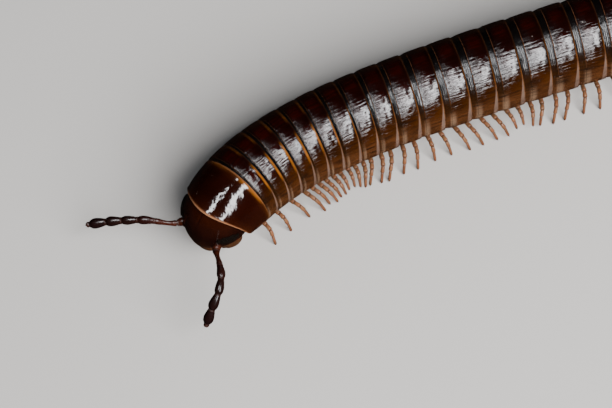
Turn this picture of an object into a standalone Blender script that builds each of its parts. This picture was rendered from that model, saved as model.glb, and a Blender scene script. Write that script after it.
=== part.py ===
"""A common brown millipede (order Spirostreptida), life size, standing on its feet in a gentle S.

Metres, +Z up. The head points down the -X side, the floor is z = 0, and the origin is under the
middle of the box round the whole animal. Places on the body are given by s, the way along the
middle of the body from the neck plate towards the tail, and by an angle from the line of the back,
positive towards the animal's left.
"""

import math

import bmesh
import bpy
from mathutils import Matrix, Vector

# Body
RING_COUNT = 48
AXIS_HEIGHT = 0.0041
NECK_RADIUS = 0.00285
BODY_RADIUS = 0.00304
RADIUS_GROWTH = 0.014
TAPER_LENGTH = 0.012
TAPER = 0.34
SIDES = 14
GAP = 0.0003
FLAT_ANGLE = math.radians(0.5)

# Lengths of the rings, which grow from the front rings to the middle ones
NECK_MARGIN = 0.00155
FRONT_PITCH = 0.00126
BODY_PITCH = 0.00202
PITCH_CHANGE_RING = 10.5
PITCH_CHANGE_WIDTH = 1.4
TAIL_PITCH_CUT = 0.4
TAIL_PITCH_RINGS = 6

# Path of the body on the floor
NECK_X, NECK_Y = -0.0380, -0.00655
HEADING = math.radians(18.5)
NECK_TURN = math.radians(31.5)
TURN_START = 0.0015
TURN_LENGTH = 0.0066
SWING = math.radians(42)
SWING_START = 0.034
STEP = 0.0002

# Slant of the ring margins, as shares of the radius
FLANK_SWEEP = 0.04
SIDE_SWEEP = -0.10
SWEEP_IN = (0.0, 0.014)
SWEEP_OUT = (0.038, 0.056)

# Shape of one ring, as shares of the radius, and its telescoped depth
RIM_RADIUS = 0.985
RIM_WALL = 0.00033
SPIGOT_RADIUS = 0.765
SHOULDER_RADIUS = 0.95
SPIGOT_TOP = 0.00012
SHOULDER = 0.00040
DEEPEST_SPIGOT = 0.0005
SPIGOT_SHARE = 0.25

# Legs
LEG_THICKNESS = 0.0005
FOOT_THICKNESS = 0.0003
FIRST_LEG_RING = 2
TWO_PAIRS_FROM = 11
LEGLESS_LAST = 2
LEG_POINTS = ((0.33, -0.88), (0.55, -1.03), (0.92, -0.93), (1.17, None))
FIRST_LEG_PLACE = 0.00062
SECOND_LEG_BEFORE_RIM = 0.00040
STRIDE = 0.00045
LEGS_PER_WAVE = 14
WAVE_START = 2.4

# Neck plate
HOOD_REACH = 0.00185
HOOD_LOW = 0.00002
HOOD_DROP = 0.00047
HOOD_RADIUS = 0.00269
HOOD_POWER = 2.15
COLLUM_SWELL = 1.04
INNER_FACE_RADIUS = 0.4

# Head, in front of the neck plate's middle
HEAD_CENTRE = Vector((0.00040, 0.0, -0.00038))
HEAD_SIZE = Vector((0.00238, 0.00235, 0.00280))
HEAD_TAPER = 0.28
TAPER_FROM, TAPER_TO = 0.0002, 0.0022
HEAD_SEGMENTS, HEAD_ROWS = 20, 12
SOCKET = Vector((0.00212, 0.00150, -0.00068))
SOCKET_WAY = Vector((0.55, 0.75, -0.10))
SOCKET_RADIUS = 0.00040
SOCKET_FOOT = 1.3
SOCKET_DEPTH = 0.0006
SOCKET_SIDES = 8
EYE_CENTRE = Vector((0.00136, 0.00182, 0.0))
EYE_SIZE = Vector((0.00088, 0.00038, 0.00040))
EYE_TURN = math.radians(-40)
JAW_CENTRE = Vector((0.00062, 0.00108, -0.00225))
JAW_SIZE = Vector((0.00100, 0.00070, 0.00088))
LIP_CENTRE = Vector((0.00175, 0.0, -0.00240))
LIP_SIZE = Vector((0.00055, 0.00095, 0.00045))
LIP_NOTCH = 0.00028
LIP_WIDENING = 1.15
MOUTH_PLATE_CENTRE = Vector((0.00072, 0.0, -0.00368))
MOUTH_PLATE_SIZE = Vector((0.00100, 0.00080, 0.00020))

# Feelers: way from the head, as forward, left and up from the neck
FEELER_ENDS = (0.0, 0.040, 0.286, 0.457, 0.628, 0.794, 0.964, 1.0)
FEELER_BEADS = (0.00029, 0.00029, 0.00030, 0.00031, 0.00035, 0.00036, 0.00025)
BEAD_PLACE = 0.64
FEELER_JOINT = 0.00021
FEELER_SIDES = 6
FEELER_STEPS = 200
BEAD_STEP = 0.03
LEFT_FEELER = (
    (0.00242, 0.00172, -0.00066), (0.00326, 0.00257, 0.00010), (0.00404, 0.00340, 0.00050),
    (0.00494, 0.00395, 0.00040), (0.00575, 0.00414, -0.00020), (0.00673, 0.00433, -0.00150),
)
RIGHT_FEELER = (
    (0.00231, -0.00177, -0.00072), (0.00278, -0.00216, -0.00080), (0.00372, -0.00366, -0.00080),
    (0.00508, -0.00544, -0.00120), (0.00620, -0.00674, -0.00170),
)

# Tail
TAIL_LENGTH = 0.0019
TAIL_WAIST, TAIL_WAIST_RADIUS = 0.6, 0.86
TAIL_END_RADIUS, TAIL_POINT = 0.62, 0.10
VALVE_SEGMENTS, VALVE_ROWS = 16, 10
VALVE_SIZE = Vector((0.0010, 0.00095, 0.00125))

# Colour, roughness and metallic value of each kind of piece
FINISHES = {
    "ring": ((0.060, 0.018, 0.009, 1.0), 0.25),
    "collum": ((0.085, 0.026, 0.012, 1.0), 0.16),
    "head": ((0.110, 0.035, 0.016, 1.0), 0.22),
    "eye": ((0.010, 0.009, 0.009, 1.0), 0.15),
    "antenna": ((0.070, 0.014, 0.008, 1.0), 0.25),
    "mouth": ((0.300, 0.140, 0.060, 1.0), 0.35),
    "telson": ((0.070, 0.022, 0.011, 1.0), 0.22),
    "anal": ((0.110, 0.038, 0.018, 1.0), 0.25),
}
SHARP_FROM = math.radians(40)


def smooth(value, low, high):
    """0 below low, 1 above high, and a smooth rise between."""
    t = min(max((value - low) / (high - low), 0.0), 1.0)
    return t * t * (3 - 2 * t)


def ring_margins():
    """Place of each ring's rear margin along the body; the first one is the neck plate's."""
    margins = [NECK_MARGIN]
    for number in range(2, RING_COUNT + 1):
        change = 1 / (1 + math.exp((PITCH_CHANGE_RING - number) / PITCH_CHANGE_WIDTH))
        pitch = FRONT_PITCH + (BODY_PITCH - FRONT_PITCH) * change
        tail = max(0.0, (number - RING_COUNT + TAIL_PITCH_RINGS) / TAIL_PITCH_RINGS)
        margins.append(margins[-1] + pitch * (1 - TAIL_PITCH_CUT * tail**2))
    return margins


MARGINS = ring_margins()
TAIL_START = MARGINS[-1]
PATH_FRONT = -0.006
PATH_END = TAIL_START + 0.006


def heading(s):
    """Direction of the body on the floor, towards the tail."""
    turn = HEADING + NECK_TURN * math.exp(-max(s - TURN_START, 0) / TURN_LENGTH)
    share = max(s - SWING_START, 0) / (PATH_END - SWING_START)
    return turn - SWING * (1 - math.cos(2 * math.pi * min(share, 1))) / 2


def walk_path():
    """Points of the body's middle line, one every STEP, from in front of the head to behind the tail."""
    count = round((PATH_END - PATH_FRONT) / STEP)
    points = [Vector((0.0, 0.0))]
    for i in range(count):
        angle = heading(PATH_FRONT + (i + 0.5) * STEP)
        points.append(points[-1] + STEP * Vector((math.cos(angle), math.sin(angle))))
    neck = points[round(-PATH_FRONT / STEP)]
    return [point - neck + Vector((NECK_X, NECK_Y)) for point in points]


PATH = walk_path()


def middle(s):
    """The point of the body's middle line at s."""
    place = min(max((s - PATH_FRONT) / STEP, 0), len(PATH) - 1.001)
    index = int(place)
    flat = PATH[index].lerp(PATH[index + 1], place - index)
    return Vector((flat.x, flat.y, AXIS_HEIGHT - full_radius(s) + body_radius(s)))


def left_of(s):
    angle = heading(s)
    return Vector((math.sin(angle), -math.cos(angle), 0))


def full_radius(s):
    """Radius of the body before the tail's taper."""
    return NECK_RADIUS + (BODY_RADIUS - NECK_RADIUS) * (1 - math.exp(-max(s, 0) / RADIUS_GROWTH))


def body_radius(s):
    return full_radius(s) * (1 - TAPER * smooth(s, TAIL_START - TAPER_LENGTH, TAIL_START + TAPER_LENGTH / 3))


def sweep(s, angle):
    """How far back a margin lies at this angle, because the rings lean a little to one side."""
    side = SIDE_SWEEP * smooth(s, *SWEEP_IN) * (1 - smooth(s, *SWEEP_OUT))
    return body_radius(s) * (side * math.sin(angle) + FLANK_SWEEP * (1 - math.cos(angle)))


def on_body(s, angle, radius):
    """Point at this way along, angle from the back and distance from the middle line."""
    along = s + sweep(s, angle)
    return middle(along) + left_of(along) * radius * math.sin(angle) + Vector((0, 0, radius * math.cos(angle)))


def from_head(offset):
    """World point of an offset (forward, left, up) from the middle of the neck plate."""
    angle = heading(0)
    forward = Vector((-math.cos(angle), -math.sin(angle), 0))
    return middle(0) + forward * offset[0] + left_of(0) * offset[1] + Vector((0, 0, offset[2]))


def new_object(name, mesh_data):
    mesh = bpy.data.meshes.new(name)
    bmesh.ops.recalc_face_normals(mesh_data, faces=mesh_data.faces)
    mesh_data.to_mesh(mesh)
    mesh_data.free()
    obj = bpy.data.objects.new(name, mesh)
    bpy.context.scene.collection.objects.link(obj)
    return obj


def loft(name, loops):
    """A closed body through loops of points, with a flat cap at each end."""
    bm = bmesh.new()
    rows = [[bm.verts.new(point) for point in loop] for loop in loops]
    for row, after in zip(rows, rows[1:]):
        for i in range(len(row)):
            j = (i + 1) % len(row)
            bm.faces.new((row[i], row[j], after[j], after[i]))
    bm.faces.new(rows[0])
    bm.faces.new(rows[-1])
    bmesh.ops.triangulate(bm, faces=bm.faces)
    return new_object(name, bm)


def ball(name, centre, size, turn=0.0, segments=10, rows=7, taper=0.0):
    """An ellipsoid on the head, at an offset from the neck, turned about the upright line.

    With a taper it gets narrower from side to side towards its low end.
    """
    bm = bmesh.new()
    bmesh.ops.create_uvsphere(bm, u_segments=segments, v_segments=rows, radius=1)
    for vert in bm.verts:
        low = -centre[2] - vert.co.z * size[2]
        vert.co.y *= 1 - taper * smooth(low, TAPER_FROM, TAPER_TO)
    frame = Matrix.Rotation(heading(0) + math.pi + turn, 4, "Z")
    place = Matrix.Translation(from_head(centre)) @ frame @ Matrix.Diagonal((*size, 1))
    bmesh.ops.transform(bm, matrix=place, verts=bm.verts)
    return new_object(name, bm)


def apply_boolean(obj, operation, others):
    """Joins the other objects to this one, or cuts them away, and removes them."""
    group = bpy.data.collections.new(obj.name + "_pieces")
    bpy.context.scene.collection.children.link(group)
    for other in others:
        bpy.context.scene.collection.objects.unlink(other)
        group.objects.link(other)
    modifier = obj.modifiers.new("fuse", "BOOLEAN")
    modifier.operation = operation
    modifier.operand_type = "COLLECTION"
    modifier.collection = group
    modifier.solver = "EXACT"
    graph = bpy.context.evaluated_depsgraph_get()
    joined = bpy.data.meshes.new_from_object(obj.evaluated_get(graph))
    obj.modifiers.clear()
    old = obj.data
    obj.data = joined
    bpy.data.meshes.remove(old)
    for other in others:
        bpy.data.objects.remove(other)
    bpy.data.collections.remove(group)
    keep_largest(obj)


def keep_largest(obj):
    """Leaves only the largest closed surface of the mesh."""
    bm = bmesh.new()
    bm.from_mesh(obj.data)
    left = set(bm.verts)
    shells = []
    while left:
        shell = {left.pop()}
        edge_of_shell = set(shell)
        while edge_of_shell:
            near = {e.other_vert(v) for v in edge_of_shell for e in v.link_edges}
            edge_of_shell = near - shell
            shell |= edge_of_shell
        left -= shell
        shells.append(shell)
    shells.sort(key=len)
    for shell in shells[:-1]:
        bmesh.ops.delete(bm, geom=list(shell), context="VERTS")
    bmesh.ops.dissolve_limit(bm, angle_limit=FLAT_ANGLE, verts=bm.verts, edges=bm.edges)
    bmesh.ops.triangulate(bm, faces=bm.faces)
    bm.to_mesh(obj.data)
    bm.free()


def finish(obj, kind):
    """Gives the object its own material and smooth shading."""
    colour, roughness = FINISHES[kind]
    material = bpy.data.materials.new(obj.name)
    material.use_nodes = True
    shader = material.node_tree.nodes["Principled BSDF"]
    shader.inputs["Base Color"].default_value = colour
    shader.inputs["Roughness"].default_value = roughness
    shader.inputs["Metallic"].default_value = 0.0
    obj.data.materials.clear()
    obj.data.materials.append(material)
    obj.data.shade_smooth()
    obj.data.set_sharp_from_angle(angle=SHARP_FROM)


def ring_loop(s, radius):
    """Points round the body at s; radius is one value, or a function of the angle."""
    angles = [2 * math.pi * i / SIDES for i in range(SIDES)]
    return [on_body(s, a, radius(a) if callable(radius) else radius) for a in angles]


def spigot_depth(pitch):
    """How far a ring's front end reaches into the ring before it."""
    return min(DEEPEST_SPIGOT, SPIGOT_SHARE * pitch)


def rear_loops(margin, pitch_behind, radius):
    """Rear rim of a ring, and the recess that takes the next ring's front end."""
    depth = spigot_depth(pitch_behind) + GAP
    inner = radius - RIM_WALL
    return [ring_loop(margin, radius), ring_loop(margin, inner), ring_loop(margin - depth, inner)]


def leg(name, s, side, number):
    """One leg from its root in the belly, arching out and down to a flat foot on the floor."""
    radius = body_radius(s)
    root_angle = math.pi - math.atan(LEG_POINTS[0][0] / -LEG_POINTS[0][1])
    s += sweep(s, side * root_angle)
    swing = STRIDE * math.sin(WAVE_START + 2 * math.pi * number / LEGS_PER_WAVE)
    out = left_of(s) * side
    along = Vector((math.cos(heading(s)), math.sin(heading(s)), 0))
    points = []
    for i, (reach, height) in enumerate(LEG_POINTS):
        share = i / (len(LEG_POINTS) - 1)
        upward = -middle(s).z if height is None else height * radius
        point = middle(s) + out * reach * radius + along * swing * share**1.5
        points.append(point + Vector((0, 0, upward)))
    loops = []
    for i, point in enumerate(points):
        foot = i == len(points) - 1
        half = (FOOT_THICKNESS if foot else LEG_THICKNESS) / 2
        before, after = points[max(i - 1, 0)], points[min(i + 1, len(points) - 1)]
        across = left_of(s) if foot else (after - before).cross(along).normalized()
        corners = ((1, 1), (1, -1), (-1, -1), (-1, 1))
        loops.append([point + half * (a * across + b * along) for a, b in corners])
    return loft(name, loops)


def leg_numbers(ring):
    """Running numbers of the legs that a ring carries on one side."""
    if ring < FIRST_LEG_RING or ring > RING_COUNT - LEGLESS_LAST:
        return []
    if ring < TWO_PAIRS_FROM:
        return [ring - FIRST_LEG_RING]
    first = TWO_PAIRS_FROM - FIRST_LEG_RING + 2 * (ring - TWO_PAIRS_FROM)
    return [first, first + 1]


def build_ring(number):
    """A trunk ring with its legs: front end in the ring before, shoulder, and rear rim."""
    before, margin = MARGINS[number - 2], MARGINS[number - 1]
    pitch = margin - before
    radius = body_radius(margin)
    pitch_behind = MARGINS[number] - margin if number < RING_COUNT else pitch
    loops = [
        ring_loop(before - spigot_depth(pitch), SPIGOT_RADIUS * body_radius(before)),
        ring_loop(before + SPIGOT_TOP, SPIGOT_RADIUS * body_radius(before)),
        ring_loop(before + SHOULDER, SHOULDER_RADIUS * radius),
        *rear_loops(margin, pitch_behind, RIM_RADIUS * radius),
    ]
    ring = loft(f"ring_{number:02d}", loops)
    numbers = leg_numbers(number)
    places = (before + FIRST_LEG_PLACE, margin - SECOND_LEG_BEFORE_RIM)
    legs = [leg("leg", s, side, n) for n, s in zip(numbers, places) for side in (1, -1)]
    if legs:
        apply_boolean(ring, "UNION", legs)
    finish(ring, "ring")


def hood_share(angle):
    return ((1 + math.cos(angle)) / 2) ** HOOD_POWER


def collum_front(grow=0.0):
    """Front margin of the neck plate: far forward on the back, and swept back on the flanks."""
    loop = []
    for i in range(SIDES):
        angle = 2 * math.pi * i / SIDES
        reach = HOOD_LOW + HOOD_REACH * hood_share(angle) + grow
        radius = HOOD_RADIUS - HOOD_DROP * hood_share(angle) + grow
        centre = middle(-reach)
        loop.append(centre + left_of(-reach) * radius * math.sin(angle) + Vector((0, 0, radius * math.cos(angle))))
    return loop


def between(loop, other, share):
    return [a.lerp(b, share) for a, b in zip(loop, other)]


def collum_loops(grow=0.0):
    """Outer shape of the neck plate, from its front face to its rear rim, grown on all sides."""
    rear = ring_loop(NECK_MARGIN, RIM_RADIUS * NECK_RADIUS + grow)
    front = collum_front(grow)
    swell = ring_loop(NECK_MARGIN, RIM_RADIUS * NECK_RADIUS * COLLUM_SWELL + grow)
    inner = ring_loop(-HOOD_LOW - grow, INNER_FACE_RADIUS * NECK_RADIUS)
    return [inner, front, between(front, swell, 0.5), rear]


def build_collum():
    loops = collum_loops()
    loops += rear_loops(NECK_MARGIN, MARGINS[1] - NECK_MARGIN, RIM_RADIUS * NECK_RADIUS)[1:]
    finish(loft("collum", loops), "collum")


def socket(side):
    """Raised round rim that carries a feeler."""
    way = Vector((SOCKET_WAY.x, SOCKET_WAY.y * side, SOCKET_WAY.z)).normalized()
    centre = Vector((SOCKET.x, SOCKET.y * side, SOCKET.z))
    across = way.cross(Vector((0, 0, 1))).normalized()
    upward = across.cross(way)
    angles = [2 * math.pi * i / SOCKET_SIDES for i in range(SOCKET_SIDES)]
    ends = []
    for depth, radius in ((SOCKET_DEPTH, SOCKET_RADIUS * SOCKET_FOOT), (0.0, SOCKET_RADIUS)):
        middle_of_end = centre - way * depth
        round_end = [middle_of_end + radius * (across * math.cos(a) + upward * math.sin(a)) for a in angles]
        ends.append([from_head(point) for point in round_end])
    return loft("socket", ends)


def eye(name, side, grow=0.0):
    centre = Vector((EYE_CENTRE.x, EYE_CENTRE.y * side, EYE_CENTRE.z))
    size = EYE_SIZE + Vector((grow, grow, grow))
    return ball(name, centre, size, EYE_TURN * side)


def build_head():
    """Head capsule with jaw bases, notched lip and feeler sockets, cut clear of the neck plate and eyes."""
    head = ball("head", HEAD_CENTRE, HEAD_SIZE, 0.0, HEAD_SEGMENTS, HEAD_ROWS, HEAD_TAPER)
    lip_side = LIP_SIZE.y / 2
    pieces = [socket(side) for side in (1, -1)]
    for side in (1, -1):
        pieces.append(ball("jaw", (JAW_CENTRE.x, JAW_CENTRE.y * side, JAW_CENTRE.z), JAW_SIZE, EYE_TURN * side))
        offset = lip_side + LIP_NOTCH / 4
        size = (LIP_SIZE.x, lip_side * LIP_WIDENING, LIP_SIZE.z)
        pieces.append(ball("lip", (LIP_CENTRE.x, offset * side, LIP_CENTRE.z), size))
    apply_boolean(head, "UNION", pieces)
    cutter_loops = collum_loops(GAP)
    cutter_loops.append(ring_loop(NECK_MARGIN + 0.003, NECK_RADIUS))
    cutters = [loft("cutter", cutter_loops)]
    cutters += [eye("eye_seat", side, GAP) for side in (1, -1)]
    apply_boolean(head, "DIFFERENCE", cutters)
    finish(head, "head")
    for side, word in ((1, "left"), (-1, "right")):
        finish(eye(f"eye_{word}", side), "eye")
    finish(ball("mouth_plate", MOUTH_PLATE_CENTRE, MOUTH_PLATE_SIZE), "mouth")


def curve_through(points, place):
    """Point on a smooth curve through the given points; a whole place is one of them."""
    i = min(int(place), len(points) - 2)
    t = place - i
    p0, p1, p2, p3 = (Vector(points[min(max(k, 0), len(points) - 1)]) for k in (i - 1, i, i + 1, i + 2))
    return 0.5 * (2 * p1 + (p2 - p0) * t + (2 * p0 - 5 * p1 + 4 * p2 - p3) * t**2
                  + (3 * p1 - p0 - 3 * p2 + p3) * t**3)


def evenly(points):
    """The same curve as a function of the share of its length."""
    fine = [curve_through(points, i * (len(points) - 1) / FEELER_STEPS) for i in range(FEELER_STEPS + 1)]
    gone = [0.0]
    for point, after in zip(fine, fine[1:]):
        gone.append(gone[-1] + (after - point).length)

    def at(share):
        length = min(max(share, 0.0), 1.0) * gone[-1]
        i = next((k for k in range(FEELER_STEPS) if gone[k + 1] >= length), FEELER_STEPS - 1)
        return fine[i].lerp(fine[i + 1], (length - gone[i]) / (gone[i + 1] - gone[i]))

    return at


def build_antenna(name, points):
    """A feeler of seven articles, each widest past its middle, with a blunt tip."""
    at = evenly(points)
    stations = []
    for start, end, bead in zip(FEELER_ENDS, FEELER_ENDS[1:], FEELER_BEADS):
        stations.append((start, FEELER_JOINT))
        stations.append((start + BEAD_PLACE * (end - start), bead))
    stations.append((1.0, FEELER_JOINT / 2))
    angles = [2 * math.pi * i / FEELER_SIDES for i in range(FEELER_SIDES)]
    loops = []
    for share, radius in stations:
        way = at(share + BEAD_STEP) - at(share - BEAD_STEP)
        across = way.cross(Vector((0, 0, 1))).normalized()
        upward = across.cross(way).normalized()
        loops.append([from_head(at(share) + radius * (across * math.cos(a) + upward * math.sin(a))) for a in angles])
    finish(loft(name, loops), "antenna")


def build_tail():
    """Last ring without legs, with a blunt point over two bulging valves that close the gut."""
    radius = body_radius(TAIL_START)
    depth = spigot_depth(MARGINS[-1] - MARGINS[-2])

    def rear(angle):
        return radius * (TAIL_END_RADIUS + TAIL_POINT * max(math.cos(angle), 0) ** 4)

    loops = [
        ring_loop(TAIL_START - depth, SPIGOT_RADIUS * radius),
        ring_loop(TAIL_START + SPIGOT_TOP, SPIGOT_RADIUS * radius),
        ring_loop(TAIL_START + SHOULDER, SHOULDER_RADIUS * radius),
        ring_loop(TAIL_START + TAIL_WAIST * TAIL_LENGTH, TAIL_WAIST_RADIUS * radius),
        ring_loop(TAIL_START + TAIL_LENGTH, rear),
    ]
    telson = loft("preanal_ring", loops)
    finish(telson, "telson")
    end = TAIL_START + TAIL_LENGTH + GAP
    for side, word in ((1, "left"), (-1, "right")):
        bm = bmesh.new()
        bmesh.ops.create_uvsphere(bm, u_segments=VALVE_SEGMENTS, v_segments=VALVE_ROWS, radius=1)
        place = Matrix.Translation(middle(end)) @ Matrix.Rotation(heading(end), 4, "Z")
        bmesh.ops.transform(bm, matrix=place @ Matrix.Diagonal((*VALVE_SIZE, 1)), verts=bm.verts)
        out, back = left_of(end) * side, (middle(end + STEP) - middle(end)).normalized()
        for point, normal in ((middle(end) + out * GAP / 2, -out), (middle(end), -back)):
            whole = bm.verts[:] + bm.edges[:] + bm.faces[:]
            cut = bmesh.ops.bisect_plane(bm, geom=whole, plane_co=point, plane_no=normal, clear_outer=True)
            rim = [e for e in cut["geom_cut"] if isinstance(e, bmesh.types.BMEdge)]
            bmesh.ops.contextual_create(bm, geom=rim)
        bmesh.ops.triangulate(bm, faces=bm.faces)
        finish(new_object(f"anal_valve_{word}", bm), "anal")


def main():
    for obj in list(bpy.data.objects):
        bpy.data.objects.remove(obj)
    build_head()
    build_antenna("antenna_left", LEFT_FEELER)
    build_antenna("antenna_right", RIGHT_FEELER)
    build_collum()
    for number in range(2, RING_COUNT + 1):
        build_ring(number)
    build_tail()


main()
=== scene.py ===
# %% [markdown]
# # A common brown millipede, life size
#
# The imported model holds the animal's plain solids. This lesson dresses them: every ring, leg, feeler and
# plate is made again as a fine mesh in the same place, and each gets a finish made of shader nodes.
# The first cell loads the solids, keeps their box, and names the one unit change of the whole lesson.

import bpy
import numpy as np
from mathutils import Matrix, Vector


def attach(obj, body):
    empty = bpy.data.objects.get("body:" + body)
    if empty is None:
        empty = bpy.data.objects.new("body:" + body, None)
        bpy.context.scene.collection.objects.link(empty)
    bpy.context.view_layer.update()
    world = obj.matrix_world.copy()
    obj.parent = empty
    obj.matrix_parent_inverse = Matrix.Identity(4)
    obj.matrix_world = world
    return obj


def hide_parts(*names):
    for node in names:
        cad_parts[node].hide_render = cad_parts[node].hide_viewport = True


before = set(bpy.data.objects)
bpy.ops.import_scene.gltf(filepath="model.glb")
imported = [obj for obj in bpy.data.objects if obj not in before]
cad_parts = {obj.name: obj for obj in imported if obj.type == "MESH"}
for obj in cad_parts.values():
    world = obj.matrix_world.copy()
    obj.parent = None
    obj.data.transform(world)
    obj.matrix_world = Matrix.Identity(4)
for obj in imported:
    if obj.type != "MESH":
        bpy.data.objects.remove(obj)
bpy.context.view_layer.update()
METRES = 0.001  # every size below is in millimetres

# %% [markdown]
# ## The line of the body
#
# A millipede is a long train of rings. All of them hang on one smooth line along the middle of the body,
# so a place is given by s, the way along that line from the neck plate towards the tail, and by an angle
# round the body from the line of the back. One could set each ring by hand, but then the gaps would never
# be even. A heading that is a function of s, added up step by step, gives a line that bends smoothly.

# %% Sizes of the rings and of their line
RING_COUNT = 48
AXIS_HEIGHT = 4.1
NECK_RADIUS, BODY_RADIUS, RADIUS_GROWTH = 2.85, 3.04, 14.0
TAPER, TAPER_LENGTH = 0.34, 12.0
NECK_MARGIN, FRONT_PITCH, BODY_PITCH = 1.55, 1.26, 2.02
PITCH_CHANGE_RING, PITCH_CHANGE_WIDTH = 10.5, 1.4
TAIL_PITCH_CUT, TAIL_PITCH_RINGS = 0.4, 6
NECK_PLACE = np.array([-38.0, -6.55])
HEADING, NECK_TURN, SWING = np.radians([18.5, 31.5, 42.0])
TURN_START, TURN_LENGTH, SWING_START = 1.5, 6.6, 34.0
FLANK_SWEEP, SIDE_SWEEP = 0.04, -0.10
SWEEP_IN, SWEEP_OUT = (0.0, 14.0), (38.0, 56.0)


def smooth(value, low, high):
    """0 below low, 1 above high, and a smooth rise between."""
    t = np.clip((value - low) / (high - low), 0, 1)
    return t * t * (3 - 2 * t)


def turns(count):
    """Evenly spaced angles all the way round."""
    return np.linspace(0, 2 * np.pi, count, endpoint=False)


def peak(value, width):
    """1 at 0, and a soft fall to nothing within about twice the width."""
    return np.exp(-((value / width) ** 2))


def ring_margins():
    """Place of each ring's rear margin; the first one is the neck plate's."""
    margins = [NECK_MARGIN]
    for number in range(2, RING_COUNT + 1):
        change = 1 / (1 + np.exp((PITCH_CHANGE_RING - number) / PITCH_CHANGE_WIDTH))
        tail = max(0.0, (number - RING_COUNT + TAIL_PITCH_RINGS) / TAIL_PITCH_RINGS)
        pitch = FRONT_PITCH + (BODY_PITCH - FRONT_PITCH) * change
        margins.append(margins[-1] + pitch * (1 - TAIL_PITCH_CUT * tail**2))
    return np.array(margins)


MARGINS = ring_margins()
TAIL_START = MARGINS[-1]
LINE_FRONT, LINE_END, LINE_STEP = -6.0, TAIL_START + 6.0, 0.05
print("rings from", MARGINS[0], "to", round(TAIL_START, 2), "mm")


# %% The line itself, and the radius of the body about it
def heading(s):
    """Direction of the body on the floor, towards the tail."""
    turn = HEADING + NECK_TURN * np.exp(-np.maximum(s - TURN_START, 0) / TURN_LENGTH)
    share = np.clip((s - SWING_START) / (LINE_END - SWING_START), 0, 1)
    return turn - SWING * (1 - np.cos(2 * np.pi * share)) / 2


LINE_S = np.arange(LINE_FRONT, LINE_END, LINE_STEP)


def line_points():
    """Points of the line on the floor, added up from small steps along its heading."""
    turn = heading(LINE_S + LINE_STEP / 2)
    points = np.cumsum(LINE_STEP * np.stack([np.cos(turn), np.sin(turn)], -1), axis=0)
    return points + (NECK_PLACE - [np.interp(-LINE_STEP, LINE_S, points[:, i]) for i in (0, 1)])


LINE_XY = line_points()


def full_radius(s):
    return NECK_RADIUS + (BODY_RADIUS - NECK_RADIUS) * (1 - np.exp(-np.maximum(s, 0) / RADIUS_GROWTH))


def taper(s):
    """Share of the full radius that is left, which falls over the last rings."""
    return 1 - TAPER * smooth(s, TAIL_START - TAPER_LENGTH, TAIL_START + TAPER_LENGTH / 3)


def body_radius(s):
    return full_radius(s) * taper(s)


def middle(s):
    """Points of the line, which rises a little where the radius shrinks, so that the back stays level."""
    x, y = (np.interp(s - LINE_STEP, LINE_S, LINE_XY[:, i]) for i in (0, 1))
    return np.stack([x, y, AXIS_HEIGHT - full_radius(s) + body_radius(s)], -1)


# %% Ways along and across the line, and places on the body
def left_of(s):
    turn = heading(s)
    return np.stack([np.sin(turn), -np.cos(turn), np.zeros_like(turn)], -1)


def tailward(s):
    turn = heading(s)
    return np.stack([np.cos(turn), np.sin(turn), np.zeros_like(turn)], -1)


def sweep(s, angle):
    """How far the ring margins lean along the body at this angle from the back."""
    side = SIDE_SWEEP * smooth(s, *SWEEP_IN) * (1 - smooth(s, *SWEEP_OUT))
    return body_radius(s) * (side * np.sin(angle) + FLANK_SWEEP * (1 - np.cos(angle)))


UP = np.array([0.0, 0.0, 1.0])


def on_body(s, angle, radius):
    """Points at this way along, angle from the back (left is positive) and distance from the line."""
    s, angle, radius = np.broadcast_arrays(s, angle, radius)
    along = s + sweep(s, angle)
    out = left_of(along) * (radius * np.sin(angle))[..., None]
    return middle(along) + out + UP * (radius * np.cos(angle))[..., None]


print("neck at", middle(np.array(0.0)).round(2), "tail at", middle(np.array(TAIL_START)).round(2))

# %% [markdown]
# ## From grids of points to pieces
#
# Nearly everything on this animal is a grid wrapped round something: a ring round the body, an article
# round a leg. So one small helper turns grids into meshes. Subdivision surfaces would round the forms too,
# but a grid puts each crease exactly where the profile says. Each point also carries two sets of numbers
# for the finishes: place, where it is on its part as shares, and lay, the same in millimetres.


# %% A grid with its skin coordinates
def patch(points, place, lay=(0, 0, 0), closed=True, caps=(False, False)):
    """A grid of points, rows by columns, with the values its material reads."""
    shape = points.shape[:2]

    def spread(values):
        return np.stack([np.broadcast_to(value, shape) for value in values], -1).reshape(-1, 3)

    return {"points": points, "place": spread(place), "lay": spread(lay), "closed": closed, "caps": caps}


def grid_faces(rows, columns, closed):
    """Corner numbers of a grid's faces; closed joins its last column to its first."""
    row = np.arange(rows - 1)[:, None] * columns
    column = np.arange(columns if closed else columns - 1)[None, :]
    after = (column + 1) % columns
    corners = (row + column, row + after, row + columns + after, row + columns + column)
    return np.stack(corners, -1).reshape(-1, 4)


def patch_faces(item, first):
    rows, columns = item["points"].shape[:2]
    faces = (grid_faces(rows, columns, item["closed"]) + first).tolist()
    if item["caps"][0]:
        faces.append(list(range(first + columns - 1, first - 1, -1)))
    if item["caps"][1]:
        faces.append(list(range(first + (rows - 1) * columns, first + rows * columns)))
    return faces


# %% A piece made of many grids, and a tube
def add_object(name, data):
    made = bpy.data.objects.new(name, data)
    bpy.context.scene.collection.objects.link(made)
    return made


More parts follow.
